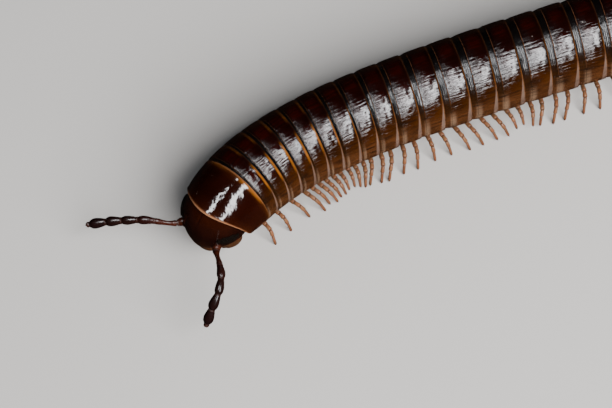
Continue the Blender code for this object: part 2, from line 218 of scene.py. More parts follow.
def make_piece(name, patches, material, nodes=()):
    """One object from many grids, riding on the animal and standing for the named solids."""
    points = np.concatenate([item["points"].reshape(-1, 3) for item in patches])
    faces, first = [], 0
    for item in patches:
        faces += patch_faces(item, first)
        first += item["points"].shape[0] * item["points"].shape[1]
    mesh = bpy.data.meshes.new(name)
    mesh.from_pydata((points * METRES).tolist(), [], faces)
    for kind in ("place", "lay"):
        values = np.concatenate([item[kind] for item in patches]).astype(np.float32)
        mesh.attributes.new(kind, "FLOAT_VECTOR", "POINT").data.foreach_set("vector", values.ravel())
    mesh.shade_smooth()
    mesh.materials.append(material)
    piece = add_object(name, mesh)
    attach(piece, "root")
    if nodes:
        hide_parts(*nodes)
    print(name, len(faces), "faces")
    return piece


def sides_of(way):
    """Two unit vectors square to a way and to each other, the first one level."""
    across = np.cross(way, UP)
    across /= np.linalg.norm(across, axis=-1, keepdims=True)
    return across, np.cross(way, across)


def tube(points, radii, place, columns=8, lay=(0, 0, 0)):
    """A grid round a line of points."""
    points, radii = np.asarray(points, float), np.asarray(radii, float)
    way = np.gradient(points, axis=0)
    across, upward = sides_of(way / np.linalg.norm(way, axis=1, keepdims=True))
    angle = turns(columns)[:, None]
    round_ = across[:, None] * np.cos(angle) + upward[:, None] * np.sin(angle)
    return patch(points[:, None] + round_ * radii[:, None, None], place, lay, caps=(True, True))


# %% [markdown]
# ## Shader helpers
#
# A finish is a tree of nodes. Writing out every link by hand hides what the finish does, so a few short
# helpers add nodes, reckon with values and lay colours over each other. A socket knows its own tree, so
# most helpers need only sockets and numbers. The effects that several parts share, fine lines, small
# changes of colour and dust, are node groups, built once.


# %% Helpers for node trees
def node(tree, kind, inputs=None, **settings):
    """Adds a node; inputs holds plain values or sockets to link."""
    made = tree.nodes.new(kind)
    for name, value in settings.items():
        setattr(made, name, value)
    for name, value in (inputs or {}).items():
        if isinstance(value, bpy.types.NodeSocket):
            tree.links.new(value, made.inputs[name])
        else:
            made.inputs[name].default_value = value
    return made


def tree_of(*values):
    """The tree of the first socket among the values."""
    return next(value.id_data for value in values if isinstance(value, bpy.types.NodeSocket))


def reckon(operation, *values, clamp=False):
    """A Math node's result."""
    inputs = dict(enumerate(values))
    return node(tree_of(*values), "ShaderNodeMath", inputs, operation=operation, use_clamp=clamp).outputs[0]


def times(first, *others):
    """All the values multiplied together."""
    for other in others:
        first = reckon("MULTIPLY", first, other)
    return first


def plus(first, *others):
    """All the values added up."""
    for other in others:
        first = reckon("ADD", first, other)
    return first


def minus(first, second):
    return reckon("SUBTRACT", first, second)


def rise(value, low, high):
    """0 where value is below low and 1 above high, smoothly between."""
    inputs = {"Value": value, "From Min": low, "From Max": high}
    made = node(value.id_data, "ShaderNodeMapRange", inputs, interpolation_type="SMOOTHSTEP")
    return made.outputs["Result"]


def band(value, start, full, last, end):
    """1 between full and last, 0 before start and after end."""
    return times(rise(value, start, full), rise(value, end, last))


# %% Helpers for places, noise and colours
def skin_coordinate(tree, kind):
    """The three numbers of place or lay."""
    vector = node(tree, "ShaderNodeAttribute", attribute_name=kind).outputs["Vector"]
    return node(tree, "ShaderNodeSeparateXYZ", {0: vector}).outputs


def ramp(value, stops):
    """A colour that changes with value through the given stops."""
    made = node(value.id_data, "ShaderNodeValToRGB", {"Fac": value})
    elements = made.color_ramp.elements
    while len(elements) < len(stops):
        elements.new(1.0)
    for element, (position, colour) in zip(elements, stops):
        element.position = position
        element.color = (*colour, 1)
    return made.outputs["Color"]


def opaque(value):
    """A plain colour with its fourth number; a socket or a number as it is."""
    return (*value, 1) if isinstance(value, tuple) else value


def blend_colours(share, first, second, way="MIX"):
    """The first colour where share is 0, the second where it is 1."""
    inputs, tree = {0: share, 6: opaque(first), 7: opaque(second)}, tree_of(share, first, second)
    return node(tree, "ShaderNodeMix", inputs, data_type="RGBA", blend_type=way).outputs[2]


def noise(place, scale, detail=2.0, roughness=0.5):
    inputs = {"Vector": place, "Scale": scale, "Detail": detail, "Roughness": roughness}
    return node(place.id_data, "ShaderNodeTexNoise", inputs).outputs["Fac"]


def object_place(tree):
    return node(tree, "ShaderNodeTexCoord").outputs["Object"]


def vector_of(x, y, z):
    return node(x.id_data, "ShaderNodeCombineXYZ", {"X": x, "Y": y, "Z": z}).outputs[0]


# %% Helpers for materials and node groups
def new_finish(name, **values):
    """A material with its Principled shader's own plain values set, and its tree."""
    material = bpy.data.materials.new(name)
    material.use_nodes = True
    tree = material.node_tree
    for socket, value in values.items():
        tree.nodes["Principled BSDF"].inputs[socket.replace("_", " ")].default_value = value
    return material, tree


def cover(material, colour, roughness=None, height=None, strength=1.0, depth=0.0):
    """Links colour, roughness and a bump, whose depth is in millimetres, to a material's shader."""
    tree, sockets = material.node_tree, {"Base Color": colour}
    if roughness is not None:
        sockets["Roughness"] = roughness
    if height is not None:
        inputs = {"Height": height, "Strength": strength, "Distance": depth * METRES}
        sockets["Normal"] = node(tree, "ShaderNodeBump", inputs).outputs[0]
    for name, socket in sockets.items():
        tree.links.new(socket, tree.nodes["Principled BSDF"].inputs[name])
    print("finish", material.name, len(tree.nodes), "nodes")
    return material


def new_group(name, inputs, outputs):
    """An empty node group with the named input values and outputs."""
    group = bpy.data.node_groups.new(name, "ShaderNodeTree")
    for socket, default in inputs.items():
        kind = "NodeSocketColor" if isinstance(default, tuple) else "NodeSocketFloat"
        made = group.interface.new_socket(socket, in_out="INPUT", socket_type=kind)
        made.default_value = opaque(default)
    for socket, kind in outputs.items():
        group.interface.new_socket(socket, in_out="OUTPUT", socket_type=kind)
    return group, group.nodes.new("NodeGroupInput").outputs, group.nodes.new("NodeGroupOutput").inputs


def use_group(tree, group, **values):
    """Places a group in a material with its own values."""
    inputs = {name: opaque(value) for name, value in values.items()}
    return node(tree, "ShaderNodeGroup", inputs, node_tree=group).outputs


# %% Group: fine lines engraved along and round the body
LINES_ALONG, LINES_AROUND = 0.75, 6.5  # changes for each millimetre
HOOP_WOBBLE, HOOP_TURNS = 0.06, 52.0
PIT_SCALE = 9.0


def build_line_group():
    inputs = {"Lengthwise": 0.5, "Hoops": 0.5, "Pitting": 0.2}
    group, given, out = new_group("engraved lines", inputs, {"Height": "NodeSocketFloat"})
    along, around, number = skin_coordinate(group, "lay")
    stretched = vector_of(times(along, LINES_ALONG), times(around, LINES_AROUND), number)
    lines = noise(stretched, 1.0, 3.0, 0.55)
    wobble = times(noise(stretched, 0.4), HOOP_WOBBLE)
    hoops = reckon("SINE", times(plus(along, wobble), HOOP_TURNS))
    pits = noise(vector_of(along, around, number), PIT_SCALE)
    height = plus(times(lines, given["Lengthwise"]), times(hoops, given["Hoops"]),
                  times(pits, given["Pitting"]))
    group.links.new(height, out["Height"])
    return group


ENGRAVED_LINES = build_line_group()


def fine_lines(tree, lengthwise, hoops, pitting):
    return use_group(tree, ENGRAVED_LINES, Lengthwise=lengthwise, Hoops=hoops, Pitting=pitting)["Height"]


# %% Group: small changes of colour, as in any grown cuticle
MOTTLE_GAIN = 4.0


def build_mottle_group():
    inputs = {"Color": (0.1, 0.05, 0.02), "Amount": 0.3, "Size": 1.0}
    group, given, out = new_group("grown colour", inputs, {"Color": "NodeSocketColor"})
    scale = reckon("DIVIDE", 1 / METRES, given["Size"])
    patches = minus(noise(object_place(group), scale, 4.0), 0.5)
    shade = plus(1.0, times(patches, times(given["Amount"], MOTTLE_GAIN)))
    grey = vector_of(shade, shade, shade)
    group.links.new(blend_colours(1.0, given["Color"], grey, "MULTIPLY"), out["Color"])
    return group


GROWN_COLOUR = build_mottle_group()


# %% Group: dust that lies on upward faces in fine specks
SPECK_SCALE, SPECK_EDGE = 2.6, (0.16, 0.06)
FIELD_SCALE, FIELD_EDGE = 0.9, (0.62, 0.74)
DUST_SLOPE, DUST_COLOUR = (0.1, 0.8), (0.55, 0.50, 0.45)


def build_dust_group():
    inputs = {"Color": (0.1, 0.05, 0.02), "Amount": 0.3}
    outputs = {"Color": "NodeSocketColor", "Dust": "NodeSocketFloat"}
    group, given, out = new_group("settled dust", inputs, outputs)
    where = object_place(group)
    cells = {"Vector": where, "Scale": SPECK_SCALE / METRES}
    specks = node(group, "ShaderNodeTexVoronoi", cells).outputs["Distance"]
    normal = node(group, "ShaderNodeNewGeometry").outputs["Normal"]
    upward = node(group, "ShaderNodeSeparateXYZ", {0: normal}).outputs[2]
    fields = rise(noise(where, FIELD_SCALE / METRES), *FIELD_EDGE)
    mask = times(rise(specks, *SPECK_EDGE), fields, rise(upward, *DUST_SLOPE))
    mask = reckon("MULTIPLY", mask, given["Amount"], clamp=True)
    group.links.new(blend_colours(mask, given["Color"], DUST_COLOUR), out["Color"])
    group.links.new(mask, out["Dust"])
    return group


SETTLED_DUST = build_dust_group()
print("node groups", [group.name for group in (ENGRAVED_LINES, GROWN_COLOUR, SETTLED_DUST)])


def grown_and_dusty(colour, amount, size, dust):
    """A colour with its small changes and its dust, and the mask of the dust."""
    grown = use_group(colour.id_data, GROWN_COLOUR, Color=colour, Amount=amount, Size=size)["Color"]
    return use_group(colour.id_data, SETTLED_DUST, Color=grown, Amount=dust)


# %% [markdown]
# ## The finish of the rings
#
# Each ring has a dull black front band that slides into the ring before it, a groove and a fine ridge
# behind that band, a polished body and a thin, clear rear rim. The back is oxblood to black with a dark
# red glow beside the middle line, the flanks are amber with a tan patch. A golden glow of light through
# the rim is painted on, mostly on the left, lit side, and a painted reflection of light pales the rim to a
# stripe down the flank. Painting an image would fix the detail to one size; two colour ramps along the
# ring, and masks reckoned from shares along and round it, follow every ring however long it is.

# %% Colours and places of a ring's markings
BACK_COLOURS = (
    (0.00, (0.003, 0.002, 0.002)), (0.205, (0.003, 0.002, 0.002)), (0.225, (0.001, 0.0005, 0.0005)),
    (0.24, (0.003, 0.0010, 0.0008)), (0.30, (0.005, 0.0009, 0.0007)), (0.60, (0.008, 0.0011, 0.0007)),
    (0.93, (0.006, 0.0011, 0.0007)), (0.965, (0.013, 0.004, 0.002)), (1.00, (0.026, 0.011, 0.005)),
)
FLANK_COLOURS = (
    (0.00, (0.020, 0.006, 0.001)), (0.205, (0.018, 0.006, 0.001)), (0.235, (0.005, 0.002, 0.0005)),
    (0.29, (0.022, 0.006, 0.001)), (0.60, (0.026, 0.0068, 0.0010)), (0.85, (0.030, 0.0085, 0.0012)),
    (0.945, (0.045, 0.014, 0.003)), (0.965, (0.080, 0.030, 0.009)), (1.00, (0.120, 0.052, 0.020)),
)
RED, RIDGE, LOW_FLANK = (0.020, 0.0013, 0.0006), (0.075, 0.030, 0.014), (0.072, 0.025, 0.008)
BELLY, TAN, DARK_STREAK = (0.12, 0.055, 0.026), (0.15, 0.088, 0.052), (0.010, 0.004, 0.002)
# a painted reflection of light down the flank at the rim, and a painted golden glow of light through the rim
PAINTED_REFLECTION_STRIPE, GOLD_PAINTED_GLOW = (0.13, 0.082, 0.062), (0.40, 0.135, 0.018)
# shares along the ring, front to rear, and round it, back to belly, where a marking rises and falls
RED_ALONG, RED_ROUND = (0.28, 0.5, 0.72, 0.93), (0.02, 0.11, 0.15, 0.25)
TAN_ALONG, TAN_ROUND = (0.11, 0.22, 0.32, 0.46), (0.34, 0.52, 0.56, 0.66)
RIDGE_ALONG, RIDGE_ROUND = (0.226, 0.236, 0.250, 0.262), (0.45, 0.25)
FLANK_ROUND, LOW_FLANK_ROUND, BELLY_ROUND = (0.16, 0.36), (0.33, 0.50), (0.66, 0.84)
STREAK_SHIFT = 0.12  # how far the streaks push the markings to and fro round the ring
# where in the streaks' values a marking shows
RED_STREAKS, RIDGE_STREAKS, DARK_STREAKS = (0.25, 0.65), (0.30, 0.48), (0.50, 0.36)
LOW_FLANK_SHARE, DARK_SHARE, TAN_SHARE, STRIPE_SHARE = 0.8, 0.7, 0.9, 0.85
# the clear rim: its painted glow of light, wider on the front rings, and its painted reflection, wider on
# the flank
FRONT_RINGS = (0.20, 0.10)
GLOW_START, GLOW_RISE, GLOW_WIDENING, GLOW_END = 0.925, 0.06, 0.085, (0.99, 0.97)
GLOW, FRONT_GLOW = 0.18, 0.24
STRIPE_START, STRIPE_RISE, STRIPE_WIDENING, STRIPE_END = 0.95, 0.03, 0.15, (0.975, 0.955)
STRIPE_ROUND, WIDENING_ROUND = (0.24, 0.32), (0.24, 0.50)
# millimetres round the body, left side positive; the painted glow is full on the left, lit side
PAINTED_GLOW_LEFT, PAINTED_GLOW_RIGHT, PAINTED_GLOW_RIGHT_SHARE = (0.1, 1.1, 2.0, 3.1), (-0.4, -1.1, -2.0, -3.1), 0.25


# %% Layers of colour on a ring
def painted_glow_side(tree):
    """Where round the body a glow of light through the clear rims is painted, far more on the lit left side
    than on the right.
    """
    around = skin_coordinate(tree, "lay")[1]
    right = times(band(around, *PAINTED_GLOW_RIGHT), PAINTED_GLOW_RIGHT_SHARE)
    return plus(band(around, *PAINTED_GLOW_LEFT), right)


def rim_band(share, start, widening, width, end):
    """Mask of a stretch of the rim whose front edge lies further forward where width is 1."""
    past = minus(share, minus(start, times(width, widening[0])))
    return times(rise(past, 0.0, widening[1]), rise(share, *end))


# a golden glow of light through the rim, painted on, stronger on the front rings
def rim_painted_glow(tree, share, number):
    front = rise(number, *FRONT_RINGS)
    place = rim_band(share, GLOW_START, (GLOW_WIDENING, GLOW_RISE), front, GLOW_END)
    return times(place, painted_glow_side(tree), plus(GLOW, times(front, FRONT_GLOW)))


# a pale stripe painted down the flank in front of the rim, standing in for its reflection of light
def rim_painted_reflection(share, angle):
    low = rise(angle, *WIDENING_ROUND)
    place = rim_band(share, STRIPE_START, (STRIPE_WIDENING, STRIPE_RISE), low, STRIPE_END)
    return times(place, rise(angle, *STRIPE_ROUND), STRIPE_SHARE)


def ring_layers(tree, share, angle, number):
    """Masks and colours of the markings, the painted glow and the painted reflection, in the order in which
    they lie over the back's colours.
    """
    streaks = fine_lines(tree, 1.0, 0.0, 0.0)
    edge = plus(angle, times(minus(streaks, 0.5), STREAK_SHIFT))
    flank = rise(edge, *FLANK_ROUND)
    red = times(band(edge, *RED_ROUND), band(share, *RED_ALONG))
    ridge = times(band(share, *RIDGE_ALONG), rise(edge, *RIDGE_ROUND))
    tan = times(band(share, *TAN_ALONG), band(edge, *TAN_ROUND))
    return (
        (times(red, rise(streaks, *RED_STREAKS)), RED),
        (flank, ramp(share, FLANK_COLOURS)),
        (times(rise(edge, *LOW_FLANK_ROUND), LOW_FLANK_SHARE), LOW_FLANK),
        (times(ridge, rise(streaks, *RIDGE_STREAKS)), RIDGE),
        (rim_painted_glow(tree, share, number), GOLD_PAINTED_GLOW),
        (times(rise(streaks, *DARK_STREAKS), flank, DARK_SHARE), DARK_STREAK),
        (times(tan, TAN_SHARE), TAN),
        (rim_painted_reflection(share, angle), PAINTED_REFLECTION_STRIPE),
        (rise(edge, *BELLY_ROUND), BELLY),
    )


# %% Dullness and fine relief of a ring
BAND_END, RIM_START = (0.23, 0.21), (0.97, 0.93)
SATIN_ALONG, GROOVE_ALONG = (0.21, 0.25, 0.42, 0.72), (0.218, 0.226, 0.258, 0.270)
DULL_ROUND, LINED_ROUND, LINED_ALONG = (0.3, 0.8), (0.1, 0.6), (0.75, 0.45)
POLISH, SATIN, BAND_DULLNESS, FLANK_DULLNESS, DUST_DULLNESS = 0.12, 0.10, 0.11, 0.05, 0.5
LINES, FRONT_LINES, BAND_SMOOTHING, BAND_HOOPS, RING_PITS = 1.1, 1.2, 0.75, 0.12, 0.06
RING_WAVES = (1.4, 1.0, 2.6)  # scale for each millimetre, detail, height


def ring_roughness(share, angle, front_band, dust):
    """A satin front half and a dull front band, with a polished line at the groove and the ridge."""
    worn = times(band(share, *SATIN_ALONG), SATIN)
    worn = plus(worn, times(front_band, BAND_DULLNESS))
    worn = times(worn, minus(1.0, band(share, *GROOVE_ALONG)))
    flank = times(rise(angle, *DULL_ROUND), FLANK_DULLNESS)
    return plus(flank, POLISH, worn, times(dust, DUST_DULLNESS))


def soft_waves(tree, scale, detail, height):
    """Low waves that make a mirrored light ragged."""
    return times(noise(object_place(tree), scale / METRES, detail), height)


def ring_relief(tree, share, angle, front_band):
    """Lengthwise lines, deeper on the front half and on the flanks, none on the rim, and soft waves."""
    front = times(rise(share, *LINED_ALONG), FRONT_LINES)
    deep = plus(LINES, rise(angle, *LINED_ROUND), front)
    kept = minus(1.0, times(front_band, BAND_SMOOTHING))
    lengthwise = times(deep, rise(share, *RIM_START), kept)
    lines = fine_lines(tree, lengthwise, times(front_band, BAND_HOOPS), RING_PITS)
    return plus(lines, soft_waves(tree, *RING_WAVES))


# %% Ring finish
def build_ring_finish():
    material, tree = new_finish("ring cuticle", IOR=1.56)
    share, angle, number = skin_coordinate(tree, "place")
    colour = ramp(share, BACK_COLOURS)
    for mask, paint in ring_layers(tree, share, angle, number):
        colour = blend_colours(mask, colour, paint)
    dusty = grown_and_dusty(colour, amount=0.32, size=1.3, dust=0.5)
    front_band = rise(share, *BAND_END)
    roughness = ring_roughness(share, angle, front_band, dusty["Dust"])
    relief = ring_relief(tree, share, angle, front_band)
    return cover(material, dusty["Color"], roughness, relief, strength=0.7, depth=0.035)


RING_FINISH = build_ring_finish()

# %% [markdown]
# ## The ring shells
#
# Seen from the side, a ring's outline has a narrow front band, a small groove and ridge behind it, a
# slightly swollen body, and a rim with a thin flange over the next ring. One outline, wrapped round the
# body's line, gives all of it. A screw or array modifier could repeat a straight ring, but here the rings
# also grow, taper towards the tail, bend with the body and lean on the flanks, so each ring's grid is
# worked out by itself.

# %% Ring outline and one ring
RING_COLUMNS = 168
# way behind the ring before, and radius as a share
FRONT_OUTLINE = np.array([
    (-0.48, 0.918), (-0.12, 0.940), (0.00, 0.956), (0.10, 0.9635), (0.22, 0.9715), (0.34, 0.9785),
    (0.41, 0.9820), (0.435, 0.9790), (0.450, 0.9775), (0.463, 0.9810), (0.476, 0.9860), (0.490, 0.9885),
    (0.505, 0.9885), (0.520, 0.9868), (0.545, 0.9862), (0.63, 0.9872), (0.75, 0.9890), (0.92, 0.9915),
])
# way in front of the ring's own rear edge, and radius as a share
REAR_OUTLINE = np.array([
    (0.75, 0.9940), (0.55, 0.9950), (0.38, 0.9950), (0.25, 0.9938), (0.16, 0.9920), (0.10, 0.9905),
    (0.055, 0.9885), (0.025, 0.9855), (0.008, 0.981), (0.0, 0.977), (0.02, 0.973), (0.15, 0.967),
    (0.35, 0.960),
])
FRONT_SHRINK, REAR_SHRINK = 2.4, 0.6  # how far the parts of the outline shorten on short rings
RING_SPREAD, RING_TILT = 0.003, 0.05  # small differences between one ring and the next
FLAT_BELLY = 0.035
LINES_APART = 3.7  # sets each ring's lines apart from its neighbours'
chance = np.random.default_rng(48)
BACK_ANGLES = turns(RING_COLUMNS)


def from_back(angle):
    """Angle from the back line as a share of half a turn, negative on the right side."""
    return ((angle + np.pi) % (2 * np.pi) - np.pi) / np.pi


def ring_shell(number):
    """Grid of one ring, a little different from its neighbours."""
    before, margin = MARGINS[number - 2], MARGINS[number - 1]
    scale = (margin - before) / BODY_PITCH
    (front_way, front_share), (rear_way, rear_share) = FRONT_OUTLINE.T, REAR_OUTLINE.T
    s = np.concatenate([before + front_way * scale**FRONT_SHRINK, margin - rear_way * scale**REAR_SHRINK])
    share = np.concatenate([front_way / BODY_PITCH, 1 - rear_way / BODY_PITCH])
    outline = np.concatenate([front_share, rear_share])
    radius = outline * full_radius(margin) * taper(s) * (1 + RING_SPREAD * chance.normal())
    tilt = RING_TILT * chance.normal() * np.sin(BACK_ANGLES + chance.uniform(0, 2 * np.pi))
    round_share = from_back(BACK_ANGLES)
    away = np.abs(round_share)
    radii = radius[:, None] * (1 - FLAT_BELLY * smooth(away, 0.8, 1.0))
    points = on_body(s[:, None] + tilt, BACK_ANGLES[None, :], radii)
    place = (np.clip(share, 0, 1)[:, None], away, number / RING_COUNT)
    lay = ((s - before)[:, None], round_share * np.pi * BODY_RADIUS, number * LINES_APART)
    return patch(points, place, lay)


# %% The rings, in five lengths
RING_LENGTHS = ((2, 10), (11, 20), (21, 30), (31, 40), (41, 48))


def ring_nodes(first, last):
    return [f"ring_{number:02d}" for number in range(first, last + 1)]


for first, last in RING_LENGTHS:
    shells = [ring_shell(number) for number in range(first, last + 1)]
    make_piece(f"rings_{first:02d}_to_{last:02d}", shells, RING_FINISH, ring_nodes(first, last))

# %% [markdown]
# ## The legs
#
# Two pairs of legs hang under each ring from the fifth on, one pair under the three before it. Each leg
# has six thin articles and a claw, arches out from the belly and comes down beside the body. They work in
# waves: where a wave passes, the feet crowd together and lift. A rig could pose them, but the model is
# still, so each leg's way is worked out from its place in the wave.

# %% Leg finish
LEG_COLOURS = (
    (0.00, (0.14, 0.065, 0.030)), (0.35, (0.19, 0.085, 0.040)), (0.70, (0.21, 0.092, 0.042)),
    (0.95, (0.16, 0.062, 0.028)), (1.00, (0.08, 0.030, 0.015)),
)
LEG_JOINT_COLOUR = (0.085, 0.035, 0.018)
JOINT_DULLNESS = 0.2


def jointed_finish(name, stops, joint_colour, joint_share, grown, roughness, lines, depth, **values):
    """A limb's colours along it, with darker and duller skin at its joints, and fine relief.

    grown is the amount and the size of the small changes of colour, lines are the engraved ones.
    """
    material, tree = new_finish(name, **values)
    share, joint, _ = skin_coordinate(tree, "place")
    colour = blend_colours(times(joint, joint_share), ramp(share, stops), joint_colour)
    colour = use_group(tree, GROWN_COLOUR, Color=colour, Amount=grown[0], Size=grown[1])["Color"]
    dull = plus(roughness, times(joint, JOINT_DULLNESS))
    return cover(material, colour, dull, fine_lines(tree, *lines), strength=0.3, depth=depth)


LEG_FINISH = jointed_finish(
    "leg cuticle", LEG_COLOURS, LEG_JOINT_COLOUR, joint_share=0.7, grown=(0.22, 0.6), roughness=0.28,
    lines=(0.4, 0.0, 0.3), depth=0.01, IOR=1.5, Subsurface_Weight=0.25, Subsurface_Scale=0.25 * METRES)

# %% Way and thickness of one leg
# reach from the body's middle and height below it, as shares of the radius; the last point is the foot
LEG_WAY = np.array([(0.10, -0.93), (0.30, -1.03), (0.56, -1.05), (0.78, -0.98), (0.93, -0.99), (1.03, -1.10),
                    (1.155, -1.31)])
LEG_HALF_WIDTHS = (0.20, 0.20, 0.185, 0.17, 0.155, 0.135, 0.085)
FIRST_LEG_RING, TWO_PAIRS_FROM, LEGLESS_LAST = 2, 5, 2
LEG_PLACES, LEG_ROOT_ANGLE = (0.36, 0.82), np.radians(162.0)
WAVE_LENGTH, BUNCH_PLACE = 13.2, 9.6
STRIDE, LIFT, TUCK = 0.95, 0.62, 0.07
RIGHT_SHIFT = 0.5  # how far the right side's wave is shifted, in radians
SWING_SPREAD, REACH_SPREAD = 0.06, 0.02
FOOT_CLEARANCE = 0.09
# along an article: way, width as a share, and how much of it is joint skin
LEG_WAY_SHARES = np.array([0.0, 0.12, 0.45, 0.80, 0.95, 1.0])
LEG_SWELL = np.array([0.62, 0.86, 0.92, 1.06, 1.0, 0.62])
LEG_JOINT_SKIN = np.array([1.0, 0.3, 0.0, 0.0, 0.5, 1.0])


# %% Joints and articles of one leg
def leg_line(s, side):
    """Joints of one leg, moved and lifted by its place in the wave."""
    radius = body_radius(s)
    turn = 2 * np.pi * (s - BUNCH_PLACE) / WAVE_LENGTH + (RIGHT_SHIFT if side < 0 else 0.0)
    swing = -STRIDE * np.sin(turn) + SWING_SPREAD * chance.normal()
    lift = LIFT * max(np.cos(turn), 0) ** 2
    share = np.linspace(0, 1, len(LEG_WAY))
    reach = LEG_WAY[:, 0] * radius * (1 - TUCK * lift * share) * (1 + REACH_SPREAD * chance.normal())
    height = LEG_WAY[:, 1] * radius
    ground = FOOT_CLEARANCE - middle(s)[2]
    height += (ground - height[-1]) * share**4 + lift * share**2
    points = middle(s) + left_of(s) * side * reach[:, None] + tailward(s) * (swing * share**1.5)[:, None]
    return points + UP * height[:, None]


def leg_parts(joints, number):
    """Grids of a leg's six articles, each narrow at its root and wide at its far end."""
    parts, count = [], len(joints) - 1
    for i in range(count):
        near, far = LEG_HALF_WIDTHS[i], LEG_HALF_WIDTHS[i + 1]
        width = (near + (far - near) * LEG_WAY_SHARES) * LEG_SWELL
        share = LEG_WAY_SHARES[:, None]
        points = joints[i] + (joints[i + 1] - joints[i]) * share
        place = ((i + share) / count, LEG_JOINT_SKIN[:, None], 0)
        parts.append(tube(points, width, place, lay=(share, 0.3, number)))
    return parts


CLAW_LENGTH, CLAW_HALF_WIDTH, CLAW_OVERLAP, CLAW_DROP = 0.20, 0.04, 0.04, 0.01


def claw(joints):
    """A small curved claw at the end of the last article."""
    way = joints[-1] - joints[-2]
    way /= np.linalg.norm(way)
    share = np.linspace(0, 1, 5)[:, None]
    flat_way = way * [1, 1, 0.25]
    points = joints[-1] - way * CLAW_OVERLAP + flat_way * share * CLAW_LENGTH - UP * share**2 * CLAW_DROP
    return tube(points, CLAW_HALF_WIDTH * (1.1 - share[:, 0]), (share, 0, 0), 6)


# %% All legs, in six pieces by side and length
def leg_places():
    """Ring and place along the body of every leg pair."""
    places = []
    for ring in range(FIRST_LEG_RING, RING_COUNT - LEGLESS_LAST + 1):
        before, margin = MARGINS[ring - 2], MARGINS[ring - 1]
        shares = LEG_PLACES if ring >= TWO_PAIRS_FROM else LEG_PLACES[:1]
        places += [(ring, before + share * (margin - before)) for share in shares]
    return places


LEG_SETS = {"front": (2, 16), "mid": (17, 32), "rear": (33, 46)}
claws = []
for side, side_name in ((1, "left"), (-1, "right")):
    for word, (first, last) in LEG_SETS.items():
        parts = []
        for number, (ring, s) in enumerate(leg_places()):
            if first <= ring <= last:
                at = np.array(s + sweep(s, side * LEG_ROOT_ANGLE))
                joints = leg_line(at, side)
                parts += leg_parts(joints, number)
                claws.append(claw(joints))
        make_piece(f"legs_{side_name}_{word}", parts, LEG_FINISH)
print("legs", 2 * len(leg_places()))


# %% Claws, and a helper for simple finishes
def plain_finish(name, colours, amount=0.0, size=1.0, **values):
    """One colour, or two that change along the piece, with small changes where an amount is given."""
    material, tree = new_finish(name, **values)
    colour = colours[0]
    if len(colours) > 1:
        colour = ramp(skin_coordinate(tree, "place")[0], tuple(enumerate(colours)))
    if amount:
        colour = use_group(tree, GROWN_COLOUR, Color=colour, Amount=amount, Size=size)["Color"]
    return cover(material, colour)


CLAW_FINISH = plain_finish("claw horn", ((0.30, 0.12, 0.05), (0.04, 0.015, 0.01)), IOR=1.55, Roughness=0.25)
make_piece("claws", claws, CLAW_FINISH)

# %% [markdown]
# ## The neck plate
#
# The first ring is a smooth shield, the collum. It reaches forward over the head like a hood and ends in
# rounded lobes low on the flanks, with a thin orange border all round. It is the brightest, most
# polished surface of the animal. It could be cut from a sphere, but its edge would be hard to steer, so it
# is a grid between two curves: the front margin and the rear rim.

# %% Neck plate finish
COLLUM_COLOURS = (
    (0.00, (0.30, 0.14, 0.07)), (0.022, (0.26, 0.11, 0.05)), (0.034, (0.07, 0.020, 0.006)),
    (0.060, (0.018, 0.0035, 0.0013)), (0.30, (0.011, 0.0018, 0.0008)), (0.80, (0.011, 0.0018, 0.0008)),
    (0.90, (0.018, 0.0036, 0.0011)), (0.950, (0.035, 0.009, 0.002)), (0.966, (0.13, 0.048, 0.016)),
    (1.00, (0.22, 0.095, 0.040)),
)
FLANK_WARMTH, WARM_ROUND = (1.9, 2.3, 1.7), (0.25, 0.62)
FRONT_RIM, REAR_RIM = (0.05, 0.03), (0.94, 0.97)
# the rear rim's golden glow of light through it, painted on, mostly on the left side
COLLUM_PAINTED_GLOW, COLLUM_PAINTED_GLOW_SHARE = (0.87, 0.955, 0.965, 0.985), 0.45
COLLUM_POLISH, RIM_DULLNESS = 0.09, 0.16
COLLUM_LINES, COLLUM_LINES_SHARE = (0.15, 0.0, 0.25), 0.12
COLLUM_WAVES = (1.5, 2.0, 2.4)


def build_collum_finish():
    material, tree = new_finish("neck plate cuticle", IOR=1.56)
    share, angle, _ = skin_coordinate(tree, "place")
    warm = blend_colours(rise(angle, *WARM_ROUND), (1.0, 1.0, 1.0), FLANK_WARMTH)
    plain = ramp(share, COLLUM_COLOURS)
    rim = plus(rise(share, *FRONT_RIM), rise(share, *REAR_RIM))
    colour = blend_colours(rim, blend_colours(1.0, plain, warm, "MULTIPLY"), plain)
    # a golden glow painted on the rear rim, as of light falling through it
    painted_glow = times(band(share, *COLLUM_PAINTED_GLOW), painted_glow_side(tree), COLLUM_PAINTED_GLOW_SHARE)
    dusty = grown_and_dusty(blend_colours(painted_glow, colour, GOLD_PAINTED_GLOW), amount=0.22, size=1.6, dust=0.35)
    roughness = plus(COLLUM_POLISH, times(rim, RIM_DULLNESS))
    lines = times(fine_lines(tree, *COLLUM_LINES), COLLUM_LINES_SHARE)
    relief = plus(lines, soft_waves(tree, *COLLUM_WAVES))
    return cover(material, dusty["Color"], roughness, relief, strength=0.6, depth=0.03)


COLLUM_FINISH = build_collum_finish()

# %% Neck plate shape
HOOD_LOW, HOOD_REACH, HOOD_POWER = 0.02, 1.85, 2.15
HOOD_RADIUS, HOOD_DROP = 2.69, 0.47
RIM_RADIUS = 0.985
LOBE_START, LOBE_END = np.radians([88.0, 132.0])
LOBE_FRONT_CUT, LOBE_REAR_CUT, LOBE_POWER = 0.992, 0.558, 1.5
DOME_POWER = 2.3
COLLUM_COLUMNS, COLLUM_ROWS, ROW_CROWDING = 200, 40, 1.3
COLLUM_LENGTH = 3.4
SHELL_THICKNESS = 0.13
BORDER_HEIGHT, BORDER_WIDTH = 0.035, 0.05
FRONT_BORDER, REAR_BORDER = 0.02, 0.965
FRONT_EDGE_DROP, REAR_EDGE_DROP = 0.05, 0.06


